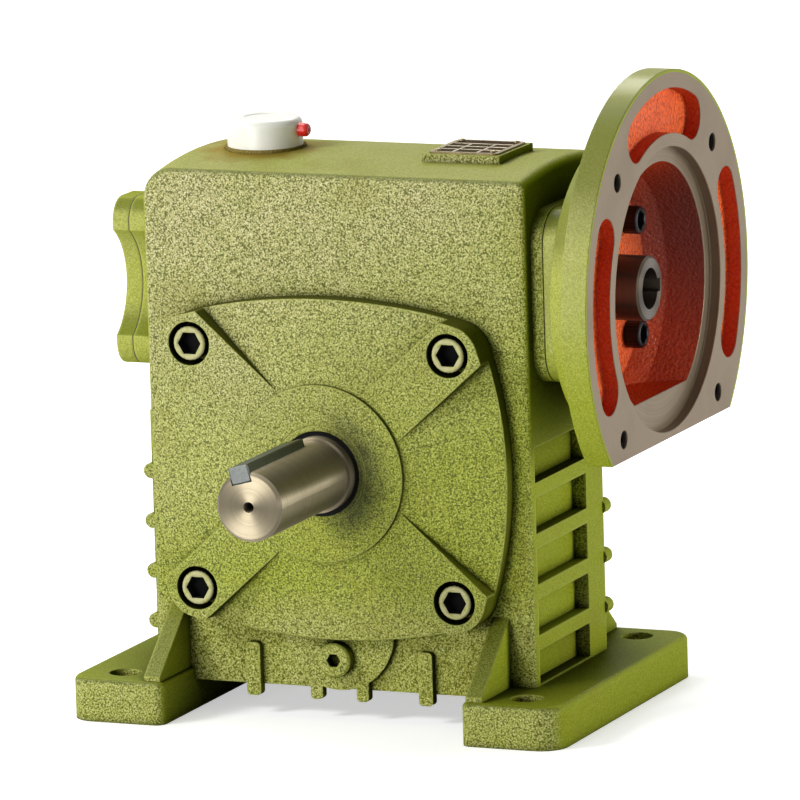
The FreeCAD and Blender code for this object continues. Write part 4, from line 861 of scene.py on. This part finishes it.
class REDUCER_OT_gearing(Operator):
    """Wheel, bearings and gaskets inside the case"""
    bl_idname = "reducer.gearing"
    bl_label = "Gearing"

    def execute(self, context):
        metal = settings("metal")
        dress(make_turned_metal("wheel_iron", metal.iron, "Y", WHEEL_AXIS, metallic=0.8), "wheel_hub")
        dress(make_turned_metal("wheel_bronze", metal.bronze, "Y", WHEEL_AXIS, roughness=0.38), "wheel_rim")
        for sides, axis, centre in (
                (("front", "rear"), "Y", WHEEL_AXIS), (("input", "blind"), "X", WORM_AXIS)):
            name = "bearing_steel_" + axis.lower()
            ground = make_turned_metal(name, metal.bearing, axis, centre, roughness=0.25)
            for side in sides:
                dress(ground, *["%s_bearing_%s" % (side, ring) for ring in ("cup", "cone", "rollers")])
        fibre = make_moulded("gasket_fibre", settings("soft").gasket, 0.75, 0.0008, 0.0002)
        dress(fibre, "output_cover_gasket", "rear_cover_gasket", "worm_end_gasket", "motor_flange_gasket")
        return {"FINISHED"}


class REDUCER_OT_screws(Operator):
    """Socket screws with knurled heads"""
    bl_idname = "reducer.screws"
    bl_label = "Screws"

    def execute(self, context):
        black = make_plain_metal("blackened_steel", settings("metal").black, 0.38, metallic=0.6)
        sprayed = make_sprayed_head()
        # The sockets get a black fill that paints their shade.
        painted_socket_shade = make_moulded("socket_painted_shade", settings("soft").rubber, 0.7, 0.0008, 0.0001, gloss=0.1)
        dress(black, "wheel_rim_screws")
        for node, direction, head in (
                ("output_cover_screws", FRONT, sprayed), ("rear_cover_screws", REAR, sprayed),
                ("worm_end_screws", LEFT, sprayed), ("motor_flange_screws", RIGHT, black)):
            shape = bmesh.new()
            for low, high in solids_of(node):
                self.screw(shape, low, high, direction)
            name = node.replace("screws", "socket_screws")
            finish_piece(name, shape, [head, painted_socket_shade], "black_steel", node, sharp=25)
        return {"FINISHED"}

    @staticmethod
    def screw(shape, low, high, direction):
        """A screw from the end of its shank to its socket, which takes the second finish."""
        parts = settings("parts")
        total, head = extent(low, high, direction)
        radius = head / 2
        shank = radius * parts.head_shank
        socket = radius * parts.head_socket
        seat = -head * parts.head_height
        floor = seat * 0.7
        cut = parts.head_chamfer
        knurl = parts.knurl

        def ring(reach, height):
            return circle(reach, height, SCREW_STEPS)

        loops = [[Vector((0, 0, -total))], ring(shank - cut, -total), ring(shank, cut - total),
                 ring(shank, seat), ring(radius - cut / 2, seat), knurled(radius, seat + cut / 2, knurl),
                 knurled(radius, -cut - knurl, knurl), ring(radius - knurl, -cut),
                 ring(radius - cut, -cut / 4), ring(radius - cut * 1.6, 0), ring(socket * 1.22, 0),
                 hexagon(socket, -cut * 0.7), hexagon(socket, floor), [Vector((0, 0, floor - socket / 3))]]
        bands = skin(shape, loops, aimed(outer_end(low, high, direction), direction))
        second_finish(bands[-2:])


class REDUCER_OT_seals(Operator):
    """Rubber shaft seals with a rounded lip inside a painted rim"""
    bl_idname = "reducer.seals"
    bl_label = "Seals"

    def execute(self, context):
        rubber = make_moulded("seal_rubber", settings("soft").rubber, 0.5, 0.0006, 0.00006, gloss=0.15)
        for node, direction, axis, housing in (
                ("output_shaft_seal", FRONT, WHEEL_AXIS, "output_cover"),
                ("input_shaft_seal", RIGHT, WORM_AXIS, "motor_flange")):
            shape = bmesh.new()
            self.seal(shape, node, direction, axis)
            painted = NODES[housing].data.materials[0]
            finish_piece(node + "_rubber", shape, [rubber, painted], "seal_rubber", node)
        return {"FINISHED"}

    @staticmethod
    def seal(shape, node, direction, axis):
        parts = settings("parts")
        low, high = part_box(node)
        width, across = extent(low, high, direction)
        outer = across / 2
        points = [vert.co - axis for vert in NODES[node].data.vertices]
        inner = min((point - direction * point.dot(direction)).length for point in points)
        lip = (outer - inner) * parts.seal_lip
        rim = inner + (outer - inner) * parts.seal_shown
        painted = [(outer, -width), (outer, -lip / 2), *arc(outer - lip / 2, -lip / 2, lip / 2, 0, 90),
                   (rim, 0)]
        bare = [(rim, -lip), (inner + lip, -2 * lip), *arc(inner + lip / 2, -2.5 * lip, lip / 2, 60, 180),
                (inner, -3 * lip), (inner, -width)]
        place = aimed(outer_end(low, high, direction), direction)
        bands = lathe(shape, painted + bare, place, closed=True)
        second_finish(bands[:len(painted)])


class REDUCER_OT_filler(Operator):
    """Filler cap with its vent button"""
    bl_idname = "reducer.filler"
    bl_label = "Filler cap"

    def execute(self, context):
        soft = settings("soft")
        shape = bmesh.new()
        self.cap(shape)
        white = make_moulded("cap_plastic", soft.cap, 0.34, 0.0007, 0.00002)
        finish_piece("filler_cap_moulding", shape, [white], "cap_plastic", "filler_cap")
        shape = bmesh.new()
        self.button(shape)
        red = make_moulded("vent_plastic", soft.vent, 0.30, 0.0006, 0.00002)
        finish_piece("vent_button", shape, [red], "vent_plastic", "vent_plug")
        return {"FINISHED"}

    @staticmethod
    def cap(shape):
        """A stem, a grooved rim and a shallow dish in the rounded top."""
        parts = settings("parts")
        low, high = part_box("filler_cap")
        radius = (high.y - low.y) / 2
        top = high.z - low.z
        edge = parts.cap_round
        groove = parts.cap_groove
        dish = top - groove / 2
        stem = radius * 0.75
        rim = top * 0.42
        profile = [(0, 0), (stem, 0), (stem, rim), (radius - groove, rim), (radius - groove, rim + groove),
                   (radius, rim + 2 * groove), *arc(radius - edge, top - edge, edge, 0, 90),
                   (radius * 0.55, top), (radius * 0.52, dish), (0, dish)]
        lathe(shape, profile, aimed(outer_end(low, high, -UP), UP))

    @staticmethod
    def button(shape):
        """A round button with a dimple in its end."""
        low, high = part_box("vent_plug")
        length, width = extent(low, high, RIGHT)
        radius = width / 2
        crown = radius * 0.7
        flat = radius - crown
        dimple = -radius * 0.3
        profile = [(0, -length), (radius, -length), (radius, -crown), *arc(flat, -crown, crown, 0, 60),
                   (flat, -radius * 0.12), (radius * 0.22, dimple), (0, dimple)]
        lathe(shape, profile, aimed(outer_end(low, high, RIGHT), RIGHT), count=32)


class REDUCER_OT_plate(Operator):
    """Blank plate with a raised border, raised lines and domed rivets"""
    bl_idname = "reducer.plate"
    bl_label = "Blank plate"

    def execute(self, context):
        parts = settings("parts")
        low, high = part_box("nameplate")
        length, width, thick = high - low
        border = parts.plate_border
        floor = thick * PLATE_FLOOR
        inset = ((0, 0), (0, thick * 0.75), (thick * 0.25, thick), (border, thick), (border * 1.2, floor))
        loops = [[Vector()]]
        for step, height in inset:
            corner = parts.plate_corner - step / 2
            loops.append(round_rectangle(length - 2 * step, width - 2 * step, corner, height))
        loops.append([Vector((0, 0, floor))])
        shape = bmesh.new()
        middle = outer_end(low, high, -UP)
        skin(shape, loops, Matrix.Translation(middle))
        self.bars(shape, length - 2 * border, width - 2 * border, thick, middle)
        enamel = make_plate_enamel(length, width, border, (low + high) / 2)
        bright = make_plain_metal("rivet_metal", settings("metal").plate_rim, 0.3)
        finish_piece("blank_plate", shape, [enamel, bright], "plate_metal", "nameplate")

        shape = bmesh.new()
        for low, high in solids_of("nameplate_rivets"):
            tall, wide = extent(low, high, UP)
            turns = [math.pi / 2 * step / DOME_STEPS for step in range(DOME_STEPS)]
            dome = [(wide / 2 * math.cos(turn), tall * math.sin(turn)) for turn in turns]
            lathe(shape, [(0, 0), *dome, (0, tall)], aimed(outer_end(low, high, -UP), UP), count=24)
        finish_piece("plate_drive_rivets", shape, [bright], "plate_metal", "nameplate_rivets")
        return {"FINISHED"}

    @staticmethod
    def bars(shape, length, width, thick, middle):
        """Raised lines that part the plate into empty fields."""
        line = settings("parts").plate_line
        half = line / 2
        rows = [((0, width * across), (length, line)) for across in (-0.25, 0.0, 0.25)]
        columns = [((length * along, -width / 8), (line, width * 0.75)) for along in (-0.2, 0.2)]
        for (along, across), (long, wide) in rows + columns:
            loops = [round_rectangle(long - step, wide - step, half * 0.5, height, steps=2)
                     for step, height in ((0, thick * PLATE_FLOOR), (0, thick * 0.85), (half, thick))]
            loops.append([Vector((0, 0, thick))])
            second_finish(skin(shape, loops, Matrix.Translation(middle + Vector((along, across, 0)))))


class REDUCER_OT_stage(Operator):
    """White floor and surroundings, lamps and the camera"""
    bl_idname = "reducer.stage"
    bl_label = "Studio"

    def execute(self, context):
        self.surroundings(context.scene)
        self.floor(context.scene)
        self.lamps(context.scene)
        self.camera(context.scene)
        context.scene.view_settings.view_transform = "Standard"
        return {"FINISHED"}

    @staticmethod
    def surroundings(scene):
        """Dim white light on the object, and plain white for the camera and in reflections."""
        studio = settings("studio")
        world = bpy.data.worlds.new("white_studio")
        world.use_nodes = True
        wiring = Wiring(world.node_tree)
        background = wiring.tree.nodes["Background"].inputs
        wiring.feed(background["Color"], (1, 1, 1, 1))
        wiring.feed(background["Strength"], wiring.pick(wiring.white_rays(), studio.ambient, studio.white))
        scene.world = world

    @staticmethod
    def floor(scene):
        """A pale floor that glows a little for the camera, more so away from the object."""
        finish = Finish("white_floor")
        away = finish.node("VectorMath", {0: finish.place}, operation="LENGTH").outputs["Value"]
        glow = finish.all_of(finish.white_rays(), finish.spread(away, 0.5, 2.5, 0.52, 0.95))
        finish.set(Base_Color=(0.8, 0.8, 0.8, 1), Roughness=0.9,
                   Emission_Color=(1, 1, 1, 1), Emission_Strength=glow)
        mesh = bpy.data.meshes.new("floor")
        corners = [(FLOOR_HALF * x, FLOOR_HALF * y, 0) for x, y in ((-1, -1), (1, -1), (1, 1), (-1, 1))]
        mesh.from_pydata(corners, [], [(0, 1, 2, 3)])
        mesh.materials.append(finish.material)
        floor = bpy.data.objects.new("floor", mesh)
        floor.location.z = CAD_BOX[0][2]
        scene.collection.objects.link(floor)

    @staticmethod
    def lamps(scene):
        target = Vector(settings("studio").target)
        for name, place, width, watts in LAMPS:
            lamp = bpy.data.lights.new(name, "AREA")
            lamp.shape = "SQUARE"
            lamp.size = width
            lamp.energy = watts
            holder = bpy.data.objects.new(name, lamp)
            holder.location = place
            holder.rotation_euler = (target - Vector(place)).to_track_quat("-Z", "Y").to_euler()
            scene.collection.objects.link(holder)

    @staticmethod
    def camera(scene):
        studio = settings("studio")
        side = studio.azimuth
        level = math.cos(studio.elevation)
        back = Vector((math.sin(side) * level, -math.cos(side) * level, math.sin(studio.elevation)))
        right = polar(1.0, side)
        tilted = right * math.cos(studio.roll) + back.cross(right) * math.sin(studio.roll)
        turn = Matrix((tilted, back.cross(tilted), back)).transposed().to_4x4()
        camera = bpy.data.cameras.new("camera")
        camera.lens = studio.lens
        camera.shift_x, camera.shift_y = studio.shift
        camera.clip_end = 100.0
        holder = bpy.data.objects.new("camera", camera)
        holder.matrix_world = Matrix.Translation(Vector(studio.target) + back * studio.reach) @ turn
        scene.collection.objects.link(holder)
        scene.camera = holder


OPERATORS = (
    REDUCER_OT_castings, REDUCER_OT_flange, REDUCER_OT_shafts, REDUCER_OT_gearing, REDUCER_OT_screws,
    REDUCER_OT_seals, REDUCER_OT_filler, REDUCER_OT_plate, REDUCER_OT_stage,
)


class REDUCER_PT_panel(Panel):
    """Lists the reducer's steps and settings"""
    bl_idname = "REDUCER_PT_panel"
    bl_label = "Worm Gear Reducer"
    bl_space_type = "VIEW_3D"
    bl_region_type = "UI"
    bl_category = "Reducer"

    def draw(self, context):
        for operator in OPERATORS:
            self.layout.operator(operator.bl_idname)
        for name, group in GROUPS.items():
            box = self.layout.box()
            for setting in group.__annotations__:
                box.prop(getattr(context.scene, name), setting)


def register():
    for group in (*GROUPS.values(), *OPERATORS, REDUCER_PT_panel):
        bpy.utils.register_class(group)
    for name, group in GROUPS.items():
        setattr(bpy.types.Scene, name, PointerProperty(type=group))


def unregister():
    for name in GROUPS:
        delattr(bpy.types.Scene, name)
    for group in (REDUCER_PT_panel, *reversed(OPERATORS), *GROUPS.values()):
        bpy.utils.unregister_class(group)


def main():
    register()
    bpy.ops.reducer.castings()
    bpy.ops.reducer.flange()
    bpy.ops.reducer.shafts()
    bpy.ops.reducer.gearing()
    bpy.ops.reducer.screws()
    bpy.ops.reducer.seals()
    bpy.ops.reducer.filler()
    bpy.ops.reducer.plate()
    bpy.ops.reducer.stage()


if __name__ == "__main__":
    main()
